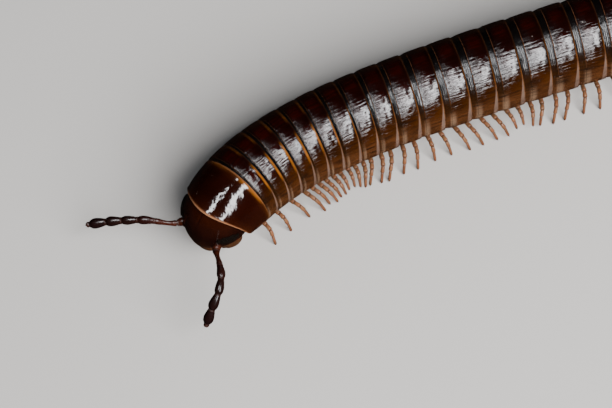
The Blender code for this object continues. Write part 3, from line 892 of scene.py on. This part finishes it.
def collum_grid(depth):
    """Points of the shield at a depth under its outer face, and the share from front to rear."""
    angle = np.linspace(-LOBE_END, LOBE_END, COLLUM_COLUMNS)[None, :]
    share = np.linspace(0, 1, COLLUM_ROWS)[:, None] ** ROW_CROWDING
    hood = ((1 + np.cos(angle)) / 2) ** HOOD_POWER
    lobe = smooth(np.abs(angle), LOBE_START, LOBE_END) ** LOBE_POWER
    front_s = -(HOOD_LOW + HOOD_REACH * hood) + lobe * LOBE_FRONT_CUT
    rear_s = NECK_MARGIN - lobe * LOBE_REAR_CUT
    front_radius = HOOD_RADIUS - HOOD_DROP * hood
    rear_radius = RIM_RADIUS * NECK_RADIUS
    s = front_s + (rear_s - front_s) * share
    radius = front_radius + (rear_radius - front_radius) * (1 - (1 - share) ** DOME_POWER)
    border = peak(share - FRONT_BORDER, BORDER_WIDTH) + peak(share - REAR_BORDER, BORDER_WIDTH)
    radius = radius + BORDER_HEIGHT * border - depth
    radius = radius - REAR_EDGE_DROP * smooth(share, 0.975, 1.0) - FRONT_EDGE_DROP * smooth(share, 0.03, 0.0)
    return on_body(s, angle, radius), share, angle / np.pi


outer, share, round_share = collum_grid(0.0)
inner = collum_grid(SHELL_THICKNESS)[0][::-4]  # every fourth row, from rear to front
shell = np.concatenate([inner[-1:], outer, inner])
shell_share = np.concatenate([share[:1], share, share[::-4]])
lay = (shell_share * COLLUM_LENGTH, round_share * np.pi * NECK_RADIUS, 1.0)
collum = patch(shell, (shell_share, np.abs(round_share), 0.0), lay, closed=False)
make_piece("neck_plate", [collum], COLLUM_FINISH, ["collum"])

# %% [markdown]
# ## The soft skin of the neck and belly
#
# Between the head and the first ring, soft pale skin closes the body from below. It is hardly seen, but
# without it one could look into an empty shell. A short, dull tube inside the plates is enough.

# %% Neck skin
SKIN_FINISH = plain_finish("soft neck skin", ((0.13, 0.060, 0.032),), amount=0.3, size=0.5, Roughness=0.55)
SKIN_FRONT, SKIN_REAR = -1.2, 2.2
SKIN_RADIUS, SKIN_WIDENING, FOLD_HEIGHT, FOLD_TURNS = 2.05, 0.40, 0.03, 12
skin_s = np.linspace(SKIN_FRONT, SKIN_REAR, 14)[:, None]
skin_radius = SKIN_RADIUS + SKIN_WIDENING * smooth(skin_s, SKIN_FRONT, -SKIN_FRONT)
skin_radius = skin_radius + FOLD_HEIGHT * np.sin(skin_s * FOLD_TURNS)
skin_points = on_body(skin_s, turns(72)[None, :], skin_radius)
make_piece("neck_skin", [patch(skin_points, (0, 0, 0), caps=(True, True))], SKIN_FINISH)

# %% [markdown]
# ## The head
#
# The head hangs down under the neck plate like a visor: a polished capsule with a fine furrow down its
# middle, a broad upper lip with a notch, and jaw plates at the sides. One ball, pushed in and out by a
# few soft bumps, keeps the capsule in one skin, which a Boolean of several balls would crease.


# %% Places on the head, forward, left and up from the middle of the neck
HEAD_SIDE = -0.03


def from_head(offset):
    """World points of offsets from the middle of the neck, forward, left and up."""
    offset = np.asarray(offset, float)
    forward, left = -tailward(np.array(0.0)), left_of(np.array(0.0))
    sideways = (offset[..., 1:2] + HEAD_SIDE) * left
    return middle(np.array(0.0)) + offset[..., :1] * forward + sideways + offset[..., 2:] * UP


def outward(down, round_):
    """Unit vectors at an angle down from the top and an angle round from straight ahead."""
    flat = np.sin(down)
    return np.stack(np.broadcast_arrays(flat * np.cos(round_), flat * np.sin(round_), np.cos(down)), -1)


def ball_offsets(centre, size, rows, columns, turn=0.0):
    """Offsets over an ellipsoid, from its top to its bottom, turned about the upright line."""
    down = np.linspace(0.02, np.pi - 0.02, rows)[:, None]
    unit = outward(down, turns(columns)[None, :])
    scaled = unit * np.asarray(size)
    x, y = scaled[..., 0].copy(), scaled[..., 1].copy()
    scaled[..., 0] = x * np.cos(turn) - y * np.sin(turn)
    scaled[..., 1] = x * np.sin(turn) + y * np.cos(turn)
    return scaled + np.asarray(centre), unit


def head_patch(offsets):
    """Patch of head offsets; place is the offset itself, brought into 0 to 1."""
    offsets = offsets[:, ::-1]
    ahead, left, high = (offsets[..., i] for i in range(3))
    place = (ahead / 6 + 0.5, np.abs(left) / 3, high / 7 + 0.5)
    return patch(from_head(offsets), place, (ahead, left, high), caps=(True, True))


def bump(offsets, centre, width, height):
    """A soft round bump in an offset surface."""
    away = np.linalg.norm((offsets - np.asarray(centre)) / np.asarray(width), axis=-1)
    return height * peak(away, 1.0)


# %% Head capsule
HEAD_CENTRE, HEAD_SIZE = (0.40, 0.0, -0.38), (2.38, 2.35, 2.80)
HEAD_TAPER, TAPER_FROM, TAPER_TO = 0.28, 0.2, 2.2
FURROW_DEPTH, FURROW_WIDTH = 0.05, 0.05
LIP_LINE_PLACE, LIP_LINE_WIDTH, LIP_LINE_DEPTH = -2.05, 0.05, 0.04
# place, width and height of the soft swellings and hollows
LIP_SWELL = ((2.1, 0.0, -2.0), (0.8, 1.1, 0.6), 0.08)
CHEEK = ((0.8, 1.7, -1.7), (0.9, 0.7, 0.8), 0.06)
FEELER_HOLLOW = ((2.1, 1.4, -0.70), (0.45, 0.45, 0.40), -0.06)


def head_capsule():
    offsets, unit = ball_offsets(HEAD_CENTRE, HEAD_SIZE, 110, 200)
    push = bump(offsets, *LIP_SWELL)
    for side in (1, -1):
        for centre, width, height in (CHEEK, FEELER_HOLLOW):
            push = push + bump(offsets, np.array(centre) * [1, side, 1], width, height)
    furrow = peak(offsets[..., 1], FURROW_WIDTH) * smooth(offsets[..., 2], -0.4, 0.4)
    lip_line = peak(offsets[..., 2] - LIP_LINE_PLACE, LIP_LINE_WIDTH) * smooth(offsets[..., 0], 0.8, 1.6)
    push = push - FURROW_DEPTH * furrow - LIP_LINE_DEPTH * lip_line
    offsets = offsets + unit * push[..., None]
    offsets[..., 1] *= 1 - HEAD_TAPER * smooth(-offsets[..., 2], TAPER_FROM, TAPER_TO)
    return offsets


# %% Head finish and feeler sockets
# from the bottom of the head up; the lower part is lighter, partly its own amber edge, partly a painted
# sheen
HEAD_COLOURS_AND_SHEEN = (
    (0.00, (0.20, 0.09, 0.04)), (0.10, (0.15, 0.056, 0.022)), (0.20, (0.110, 0.036, 0.012)),
    (0.31, (0.055, 0.0160, 0.0055)), (0.42, (0.014, 0.0034, 0.0015)), (0.52, (0.008, 0.0017, 0.0009)),
    (0.75, (0.018, 0.0035, 0.0012)), (1.00, (0.018, 0.0035, 0.0012)),
)
HEAD_LINES, HEAD_POLISH, HEAD_DUST_DULLNESS = (0.1, 0.0, 0.4), 0.13, 0.4


def build_head_finish():
    material, tree = new_finish("head cuticle", IOR=1.56)
    height, relief = skin_coordinate(tree, "place")[2], fine_lines(tree, *HEAD_LINES)
    dusty = grown_and_dusty(ramp(height, HEAD_COLOURS_AND_SHEEN), amount=0.25, size=0.9, dust=0.3)
    roughness = plus(HEAD_POLISH, times(dusty["Dust"], HEAD_DUST_DULLNESS))
    return cover(material, dusty["Color"], roughness, relief, strength=0.25, depth=0.012)


HEAD_FINISH = build_head_finish()
SOCKET, SOCKET_WAY = np.array([2.12, 1.50, -0.68]), np.array([0.55, 0.75, -0.1])
SOCKET_RADIUS = 0.40
# steps out of the head and the rim's radius at each as a share
SOCKET_STEPS = np.array([-0.45, -0.1, 0.0, 0.02, -0.05, -0.2])
SOCKET_SHARES = np.array([1.35, 1.12, 1.0, 0.88, 0.76, 0.55])


def socket_rim(side):
    """A low round rim about the root of a feeler."""
    way = SOCKET_WAY * [1, side, 1]
    way /= np.linalg.norm(way)
    across, upward = sides_of(way)
    angle = turns(36)[:, None]
    round_ = across * np.cos(angle) + upward * np.sin(angle)
    offsets = SOCKET * [1, side, 1] + way * SOCKET_STEPS[:, None, None]
    offsets = offsets + round_[None] * (SOCKET_RADIUS * SOCKET_SHARES)[:, None, None]
    return head_patch(offsets if side > 0 else offsets[:, ::-1])


head_patches = [head_patch(head_capsule()), socket_rim(1), socket_rim(-1)]
make_piece("head_capsule", head_patches, HEAD_FINISH, ["head"])

# %% [markdown]
# ## Eyes
#
# A millipede's eye is a dark patch of separate round lenses in rows, set between the feeler and the neck
# plate. Noise bumps would look like leather; small domes on a low mound that follows the head stay round
# and apart. Their finish hardly mirrors, so the patch stays dark.

# %% Eye patches
EYE_DOWN, EYE_ROUND = np.radians([79.0, 60.0])
EYE_HALF_HEIGHT, EYE_HALF_LENGTH = np.radians([7.0, 21.0])
EYE_SWELL, EYE_ROOT = 0.06, 0.04
LENS_RADIUS, LENS_ROWS, LENS_COLUMNS = 0.072, 5, 14
LENS_REACH, LENS_MARGIN = 0.82, 0.08
EYE_FINISH = plain_finish(
    "eye lens", ((0.006, 0.004, 0.003),), amount=0.3, size=0.4,
    IOR=1.56, Roughness=0.16, Specular_IOR_Level=0.02)


def on_eye(along, high, lift):
    """Head offsets at shares of the left eye's half length and half height, lifted off the capsule."""
    unit = outward(EYE_DOWN - EYE_HALF_HEIGHT * high, EYE_ROUND + EYE_HALF_LENGTH * along)
    return HEAD_CENTRE + unit * (np.asarray(HEAD_SIZE) + np.asarray(lift)[..., None])


def eye_patches(side):
    """A low mound that follows the head, and its rows of lenses."""
    reach = np.linspace(0.03, 1, 10)[:, None]
    turn = turns(56)[None, :]
    lift = (EYE_SWELL + EYE_ROOT) * np.sqrt(1 - reach**2) - EYE_ROOT + 0 * turn
    mound = on_eye(reach * np.cos(turn), reach * np.sin(turn), lift) * [1, side, 1]
    parts = [head_patch(mound if side > 0 else mound[:, ::-1])]
    for row in range(LENS_ROWS):
        high = (2 * row / (LENS_ROWS - 1) - 1) * LENS_REACH
        for column in range(LENS_COLUMNS):
            along = (2 * column + row % 2) / (LENS_COLUMNS - 0.5) - 1
            inside = 1 - along**2 - high**2
            if inside > LENS_MARGIN:
                place = on_eye(along, high, EYE_SWELL * np.sqrt(inside)) * [1, side, 1]
                parts.append(head_patch(ball_offsets(place, (LENS_RADIUS,) * 3, 8, 12)[0]))
    return parts


for side, word in ((1, "left"), (-1, "right")):
    make_piece(f"eye_{word}", eye_patches(side), EYE_FINISH, [f"eye_{word}"])

# %% [markdown]
# ## Jaws and mouth plates
#
# Below the capsule sit the jaw bases, the notched upper lip and, underneath, a flat amber plate with a
# middle seam that closes the mouth. They are separate small shells in life, so they are here as well.

# %% Mouthparts
JAW_CENTRE, JAW_SIZE, JAW_TURN = np.array([0.62, 1.08, -2.25]), (1.0, 0.70, 0.88), np.radians(-40)
JAW_SEAM, SEAM_DEPTH = 0.25, 0.05
LIP_CENTRE, LIP_SIZE = (1.75, 0.0, -2.40), (0.55, 0.95, 0.45)
NOTCH_WIDTH, NOTCH_DEPTH = 0.22, 0.20
TOOTH_LENGTH, TOOTH_SPACING, TEETH_WIDTH = 0.05, 0.17, 0.25
PLATE_CENTRE, PLATE_SIZE = (0.72, 0.0, -3.16), (1.0, 0.85, 0.24)
SIDE_SEAM, SEAM_WIDTH = 0.45, 0.04
MOUTH_FINISH = plain_finish(
    "mouth plates", ((0.055, 0.020, 0.008),), amount=0.4, size=0.5,
    IOR=1.5, Roughness=0.3, Subsurface_Weight=0.1, Subsurface_Scale=0.2 * METRES)


def jaw(side):
    offsets, unit = ball_offsets(JAW_CENTRE * [1, side, 1], JAW_SIZE, 32, 48, JAW_TURN * side)
    return offsets - unit * (SEAM_DEPTH * peak(unit[..., 0] - JAW_SEAM, 0.06))[..., None]


def upper_lip():
    """The lip with its notch in front and three small teeth in the notch."""
    lip, unit = ball_offsets(LIP_CENTRE, LIP_SIZE, 60, 240)
    sideways = lip[..., 1].copy()
    notch = peak(sideways, NOTCH_WIDTH) * smooth(-unit[..., 2], -0.2, 0.8) * smooth(unit[..., 0], -0.1, 0.5)
    teeth = TOOTH_LENGTH * np.cos(sideways * 2 * np.pi / TOOTH_SPACING) * peak(sideways, TEETH_WIDTH)
    lip[..., 2] += (NOTCH_DEPTH - teeth) * notch
    return lip


def mouth_plate():
    """The flat plate under the mouth, with a middle seam and one at each side."""
    plate, unit = ball_offsets(PLATE_CENTRE, PLATE_SIZE, 40, 90)
    sideways = np.abs(plate[..., 1])
    seams = peak(sideways, SEAM_WIDTH) + peak(sideways - SIDE_SEAM, SEAM_WIDTH)
    plate[..., 2] += SEAM_DEPTH * seams * smooth(-unit[..., 2], 0.0, 0.5)
    return plate


mouth_patches = [head_patch(offsets) for offsets in (jaw(1), jaw(-1), upper_lip(), mouth_plate())]
make_piece("mouthparts", mouth_patches, MOUTH_FINISH, ["mouth_plate"])

# %% [markdown]
# ## Feelers
#
# Each feeler has seven articles like slim clubs: narrow at the joint, widest in their far half. The first
# two glow red-brown, the last ones are nearly black. A bevelled curve could change its thickness too, but
# not carry the numbers that the finish reads, so each article is a turned form along a smooth curve.

# %% Feeler curve and finish
LEFT_FEELER = np.array([(1.60, 1.15, -0.68), (2.10, 1.47, -0.67), (2.50, 1.73, -0.58), (3.26, 2.69, 0.10),
                        (4.04, 3.52, 0.50), (4.94, 4.07, 0.40), (5.75, 4.26, -0.20), (6.73, 4.45, -1.50)])
RIGHT_FEELER = np.array([(1.60, -1.10, -0.66), (2.14, -1.49, -0.74), (2.78, -2.04, -0.80),
                         (3.72, -3.54, -0.80), (5.08, -5.32, -1.20), (6.20, -6.62, -1.70)])
ARTICLE_ENDS = np.array([0.0, 0.147, 0.365, 0.517, 0.669, 0.816, 0.968, 1.0])
ARTICLE_HALF_WIDTHS = (0.29, 0.29, 0.30, 0.31, 0.345, 0.36, 0.20)
JOINT_HALF_WIDTHS = (0.27, 0.22, 0.23, 0.24, 0.24, 0.24, 0.20)
FEELER_COLOURS = (
    (0.00, (0.040, 0.010, 0.005)), (0.12, (0.055, 0.012, 0.005)), (0.30, (0.040, 0.008, 0.004)),
    (0.42, (0.018, 0.004, 0.003)), (0.60, (0.010, 0.003, 0.002)), (0.96, (0.009, 0.003, 0.003)),
    (1.00, (0.05, 0.02, 0.015)),
)
FEELER_JOINT_COLOUR = (0.035, 0.010, 0.006)
FEELER_FINISH = jointed_finish(
    "feeler cuticle", FEELER_COLOURS, FEELER_JOINT_COLOUR, joint_share=0.75, grown=(0.25, 0.5),
    roughness=0.26, lines=(0.3, 0.0, 0.5), depth=0.012, IOR=1.56)


def curve_through(points, share):
    """Points at shares of the length of a smooth curve through the given points."""
    place = np.linspace(0, len(points) - 1, 40 * len(points))
    i = np.minimum(place.astype(int), len(points) - 2)
    t = (place - i)[:, None]
    p0, p1, p2, p3 = (points[np.clip(i + k, 0, len(points) - 1)] for k in (-1, 0, 1, 2))
    bend = (2 * p0 - 5 * p1 + 4 * p2 - p3) * t**2 + (3 * p1 - p0 - 3 * p2 + p3) * t**3
    fine = (2 * p1 + (p2 - p0) * t + bend) / 2
    length = np.append(0, np.cumsum(np.linalg.norm(np.diff(fine, axis=0), axis=1)))
    ways = np.asarray(share) * length[-1]
    return np.stack([np.interp(ways, length, fine[:, k]) for k in range(fine.shape[1])], -1)


# %% Feeler articles
# way along an article, share of its wide radius and of its joint radius, and how much of it is joint skin
CLUB = np.array([
    (0.00, 0.00, 1.00, 1.0), (0.03, 0.20, 0.70, 0.5), (0.09, 0.52, 0.25, 0.0), (0.20, 0.74, 0.08, 0.0),
    (0.34, 0.88, 0.00, 0.0), (0.50, 0.97, 0.00, 0.0), (0.64, 1.00, 0.00, 0.0), (0.76, 0.975, 0.00, 0.0),
    (0.86, 0.88, 0.00, 0.0), (0.93, 0.70, 0.08, 0.1), (0.975, 0.42, 0.35, 0.6), (1.00, 0.10, 0.80, 1.0),
])
FEELER_LENGTH = 6.0
STALK_ARTICLE, STALK_POWER, STALK_SWELL = 1, 1.2, 0.55
CONE_LENGTH, CONE_RADII, CONE_SPACING = 0.16, (0.045, 0.04, 0.03, 0.012), 0.07


def feeler_articles(points):
    """The seven articles of a feeler."""
    parts = []
    way, wide, narrow, skin = CLUB.T
    for i, (start, end) in enumerate(zip(ARTICLE_ENDS, ARTICLE_ENDS[1:])):
        swell = wide
        if i == STALK_ARTICLE:
            stalk = STALK_SWELL * (narrow < 0.3) * (way < 0.9)
            swell = np.maximum(wide * way**STALK_POWER, stalk)
        radii = swell * ARTICLE_HALF_WIDTHS[i] + narrow * JOINT_HALF_WIDTHS[i]
        share = start + (end - start) * way
        place, lay = (share[:, None], skin[:, None], 0), (share[:, None] * FEELER_LENGTH, 0.2, i)
        parts.append(tube(from_head(curve_through(points, share)), radii, place, 24, lay))
    return parts


def sense_cones(points):
    """The four small cones at a feeler's tip."""
    tip, before = from_head(curve_through(points, [1.0, 0.97]))
    way = (tip - before) / np.linalg.norm(tip - before)
    across, upward = sides_of(way)
    parts = []
    for turn in np.pi / 4 + np.arange(4) * np.pi / 2:
        root = tip - way * 0.05 + CONE_SPACING * (across * np.cos(turn) + upward * np.sin(turn))
        cone = root + way * np.linspace(0, CONE_LENGTH, len(CONE_RADII))[:, None]
        parts.append(tube(cone, CONE_RADII, (1.0, 0, 0)))
    return parts


for word, way in (("left", LEFT_FEELER), ("right", RIGHT_FEELER)):
    patches = feeler_articles(way) + sense_cones(way)
    make_piece(f"feeler_{word}", patches, FEELER_FINISH, [f"antenna_{word}"])

# %% [markdown]
# ## The tail
#
# The last ring has no legs. It narrows to a blunt point over two bulging valves with raised, paler edges
# where they meet. The valves are halves of two balls, squeezed flat where they touch, which needs no cut.

# %% Tail ring
TAIL_LENGTH = 1.9
TAIL_OUTLINE = np.array([
    (-0.40, 0.91), (0.10, 0.945), (0.30, 0.955), (0.36, 0.950), (0.42, 0.962), (0.55, 0.966), (0.90, 0.935),
    (1.30, 0.85), (1.65, 0.74), (1.85, 0.655), (1.90, 0.62), (1.86, 0.58), (1.60, 0.55),
])
TAIL_POINT, POINT_START = 0.10, 0.9
TAIL_SHARE_LENGTH, TAIL_LAST_SHARE = 2.2, 0.86  # keeps the tail clear of the colours of a rim
TAIL_HALF_GIRTH, TAIL_LINES = 6.0, 180.0


def tail_ring():
    ways, share = TAIL_OUTLINE[:, :1], TAIL_OUTLINE[:, 1:]
    s, angle = TAIL_START + ways, BACK_ANGLES[None, :]
    point = np.maximum(np.cos(angle), 0) ** 4 * smooth(s, TAIL_START + POINT_START, TAIL_START + TAIL_LENGTH)
    points = on_body(s, angle, (share + TAIL_POINT * point) * body_radius(TAIL_START))
    place = (np.clip(ways / TAIL_SHARE_LENGTH, 0, TAIL_LAST_SHARE), np.abs(from_back(angle)), 1.0)
    return patch(points, place, (ways, from_back(angle) * TAIL_HALF_GIRTH, TAIL_LINES))


make_piece("tail_ring", [tail_ring()], RING_FINISH, ["preanal_ring"])

# %% Tail valves
VALVE_SIZE, VALVE_RISE = np.array([1.0, 1.22, 1.30]), 0.08
VALVE_GAP, VALVE_START = 0.02, 0.05
VALVE_EDGE, EDGE_WIDTH = 0.05, 0.10


def valve(side):
    """One bulging valve, flat where it meets the other, with a raised edge."""
    down = np.linspace(0.03, np.pi - 0.03, 40)[:, None]
    round_ = np.linspace(-np.pi / 2, np.pi / 2, 40)[None, :]
    unit = outward(down, round_)
    unit[..., 1] = (unit[..., 1] + np.sin(down)) / 2
    edge = peak(unit[..., 1], EDGE_WIDTH)
    local = unit * VALVE_SIZE * (1 + VALVE_EDGE * edge[..., None])
    local[..., 1] = (local[..., 1] + VALVE_GAP) * side
    local[..., 2] += VALVE_RISE
    end = np.array(TAIL_START + TAIL_LENGTH + VALVE_START)
    axes = np.stack([tailward(end), left_of(end), UP])
    points = middle(end) + local @ axes
    if side < 0:
        points = points[:, ::-1]
    return patch(points[:, ::-1], (edge, 0, 0), closed=False)


VALVE_FINISH = plain_finish(
    "tail valve cuticle", ((0.075, 0.022, 0.011), (0.30, 0.12, 0.05)), amount=0.3, size=0.7,
    IOR=1.56, Roughness=0.18)
for side, word in ((1, "left"), (-1, "right")):
    make_piece(f"tail_valve_{word}", [valve(side)], VALVE_FINISH, [f"anal_valve_{word}"])

# %% [markdown]
# ## Floor, light and camera
#
# The animal stands on a plain pale floor. One broad soft light gives the shading and the shadow, and a dim
# sky fills in. What polished plates mirror is set apart from that: two soft windows, seen only in mirroring
# surfaces, put the streaks where they belong, and the floor is dark in mirrorings. The camera looks down at
# 64 degrees through a long lens, as close-ups of small animals are taken.

# %% Floor and sky
FLOOR_SIZE = 3.0
FLOOR_COLOUR, MIRRORED_FLOOR = (0.55, 0.53, 0.51), (0.010, 0.008, 0.007)
SKY_COLOUR, SKY_STRENGTH = (0.85, 0.92, 1.0, 1), 0.15
bpy.ops.mesh.primitive_plane_add(size=FLOOR_SIZE)
floor = bpy.context.object
floor.name = "floor"
FLOOR_FINISH, floor_tree = new_finish("pale floor", Roughness=0.9, Specular_IOR_Level=0.0)
mirrored = node(floor_tree, "ShaderNodeLightPath").outputs["Is Glossy Ray"]
cover(FLOOR_FINISH, blend_colours(mirrored, FLOOR_COLOUR, MIRRORED_FLOOR))
floor.data.materials.append(FLOOR_FINISH)

world = bpy.data.worlds.new("studio")
bpy.context.scene.world = world
world.use_nodes = True
sky = world.node_tree.nodes["Background"].inputs
sky["Color"].default_value, sky["Strength"].default_value = SKY_COLOUR, SKY_STRENGTH
world.cycles_visibility.glossy = False  # the polished plates mirror only the windows

# %% Camera
CAMERA_ELEVATION = np.radians(64.0)
CAMERA_DISTANCE, LENS = 205.0, 180.0
AIM_FROM_NECK = (5.683, 0.254)
AIM = np.array([*(NECK_PLACE + AIM_FROM_NECK), AXIS_HEIGHT])
TO_CAMERA = np.array([0, -np.cos(CAMERA_ELEVATION), np.sin(CAMERA_ELEVATION)])
camera_data = bpy.data.cameras.new("camera")
camera_data.lens = LENS
camera_data.clip_start, camera_data.clip_end = 0.01, 10.0
camera = add_object("camera", camera_data)
camera.location = (AIM + TO_CAMERA * CAMERA_DISTANCE) * METRES
camera.rotation_euler = (np.pi / 2 - CAMERA_ELEVATION, 0, 0)
bpy.context.scene.camera = camera
print("camera at", [round(x, 3) for x in camera.location])

# %% Key light
CAMERA_RIGHT = np.array([1.0, 0, 0])
CAMERA_UP = np.array([0, np.sin(CAMERA_ELEVATION), np.cos(CAMERA_ELEVATION)])
LIGHT_DISTANCE = 230.0
KEY_RIGHT, KEY_UP, KEY_SIZE, KEY_POWER = 26.0, -12.0, 210.0, 1.62


def seen_from_aim(right, up):
    """Directions at angles right of and above the camera, as seen from the animal."""
    right, up = np.radians(right)[..., None], np.radians(up)[..., None]
    level = TO_CAMERA * np.cos(right) + CAMERA_RIGHT * np.sin(right)
    return level * np.cos(up) + CAMERA_UP * np.sin(up)


key_way = seen_from_aim(np.array(KEY_RIGHT), np.array(KEY_UP))
key_data = bpy.data.lights.new("key", "AREA")
key_data.size, key_data.energy = KEY_SIZE * METRES, KEY_POWER
key = add_object("key", key_data)
key.location = (AIM + key_way * LIGHT_DISTANCE) * METRES
key.rotation_euler = Vector(key_way).to_track_quat("Z", "Y").to_euler()
key.visible_glossy = False

# %% Soft windows
WINDOW_COLUMNS, WINDOW_ROWS = 9, 41
SIDE_FADE, END_FADE = 0.8, 0.12
WINDOW_COLOUR = (0.97, 0.98, 1.0)


def soft_window(name, way, half_widths, strength):
    """A glowing strip through points given as angles from the camera, seen only in mirroring surfaces.

    It fades towards its edges, as a cloth panel does.
    """
    share = np.linspace(0, 1, WINDOW_ROWS)
    middle_way = curve_through(np.asarray(way, float), share)
    half = np.interp(share, np.linspace(0, 1, len(half_widths)), half_widths)
    along = np.gradient(middle_way, axis=0)
    side = np.stack([-along[:, 1], along[:, 0]], -1) / np.linalg.norm(along, axis=1, keepdims=True)
    across = np.linspace(-1, 1, WINDOW_COLUMNS)
    angles = middle_way[:, None] + side[:, None] * (half[:, None] * across)[..., None]
    points = (AIM + seen_from_aim(angles[..., 0], angles[..., 1]) * LIGHT_DISTANCE) * METRES
    end_fade = smooth(np.minimum(share, 1 - share), 0.0, END_FADE)[:, None]
    fade = smooth(1 - np.abs(across), 0.0, SIDE_FADE) * end_fade
    faces = grid_faces(WINDOW_ROWS, WINDOW_COLUMNS, False)
    mesh = bpy.data.meshes.new(name)
    mesh.from_pydata(points.reshape(-1, 3).tolist(), [], faces.tolist())
    mesh.attributes.new("glow", "FLOAT", "POINT").data.foreach_set("value", fade.ravel().astype(np.float32))
    glow, tree = new_finish(name, Base_Color=(0, 0, 0, 1), Emission_Strength=strength)
    shade = node(tree, "ShaderNodeAttribute", attribute_name="glow").outputs["Fac"]
    light = blend_colours(shade, (0.0, 0.0, 0.0), WINDOW_COLOUR)
    tree.links.new(light, tree.nodes["Principled BSDF"].inputs["Emission Color"])
    mesh.materials.append(glow)
    window = add_object(name, mesh)
    window.visible_camera = window.visible_diffuse = False
    window.visible_shadow = window.visible_transmission = False
    print(name, "from", middle_way[0], "to", middle_way[-1], "degrees")


LEFT_WAY = ((3, 34), (-5, 30), (-11, 22), (-12, 13), (-7, 5))
RIGHT_WAY = ((26, 28), (27, 19), (25, 8), (25, -3), (27, -13), (29, -24))
soft_window("window_left", LEFT_WAY, (4, 5, 6, 6, 4), 30.0)
soft_window("window_right", RIGHT_WAY, (7, 8, 7, 7, 7, 7), 31.0)
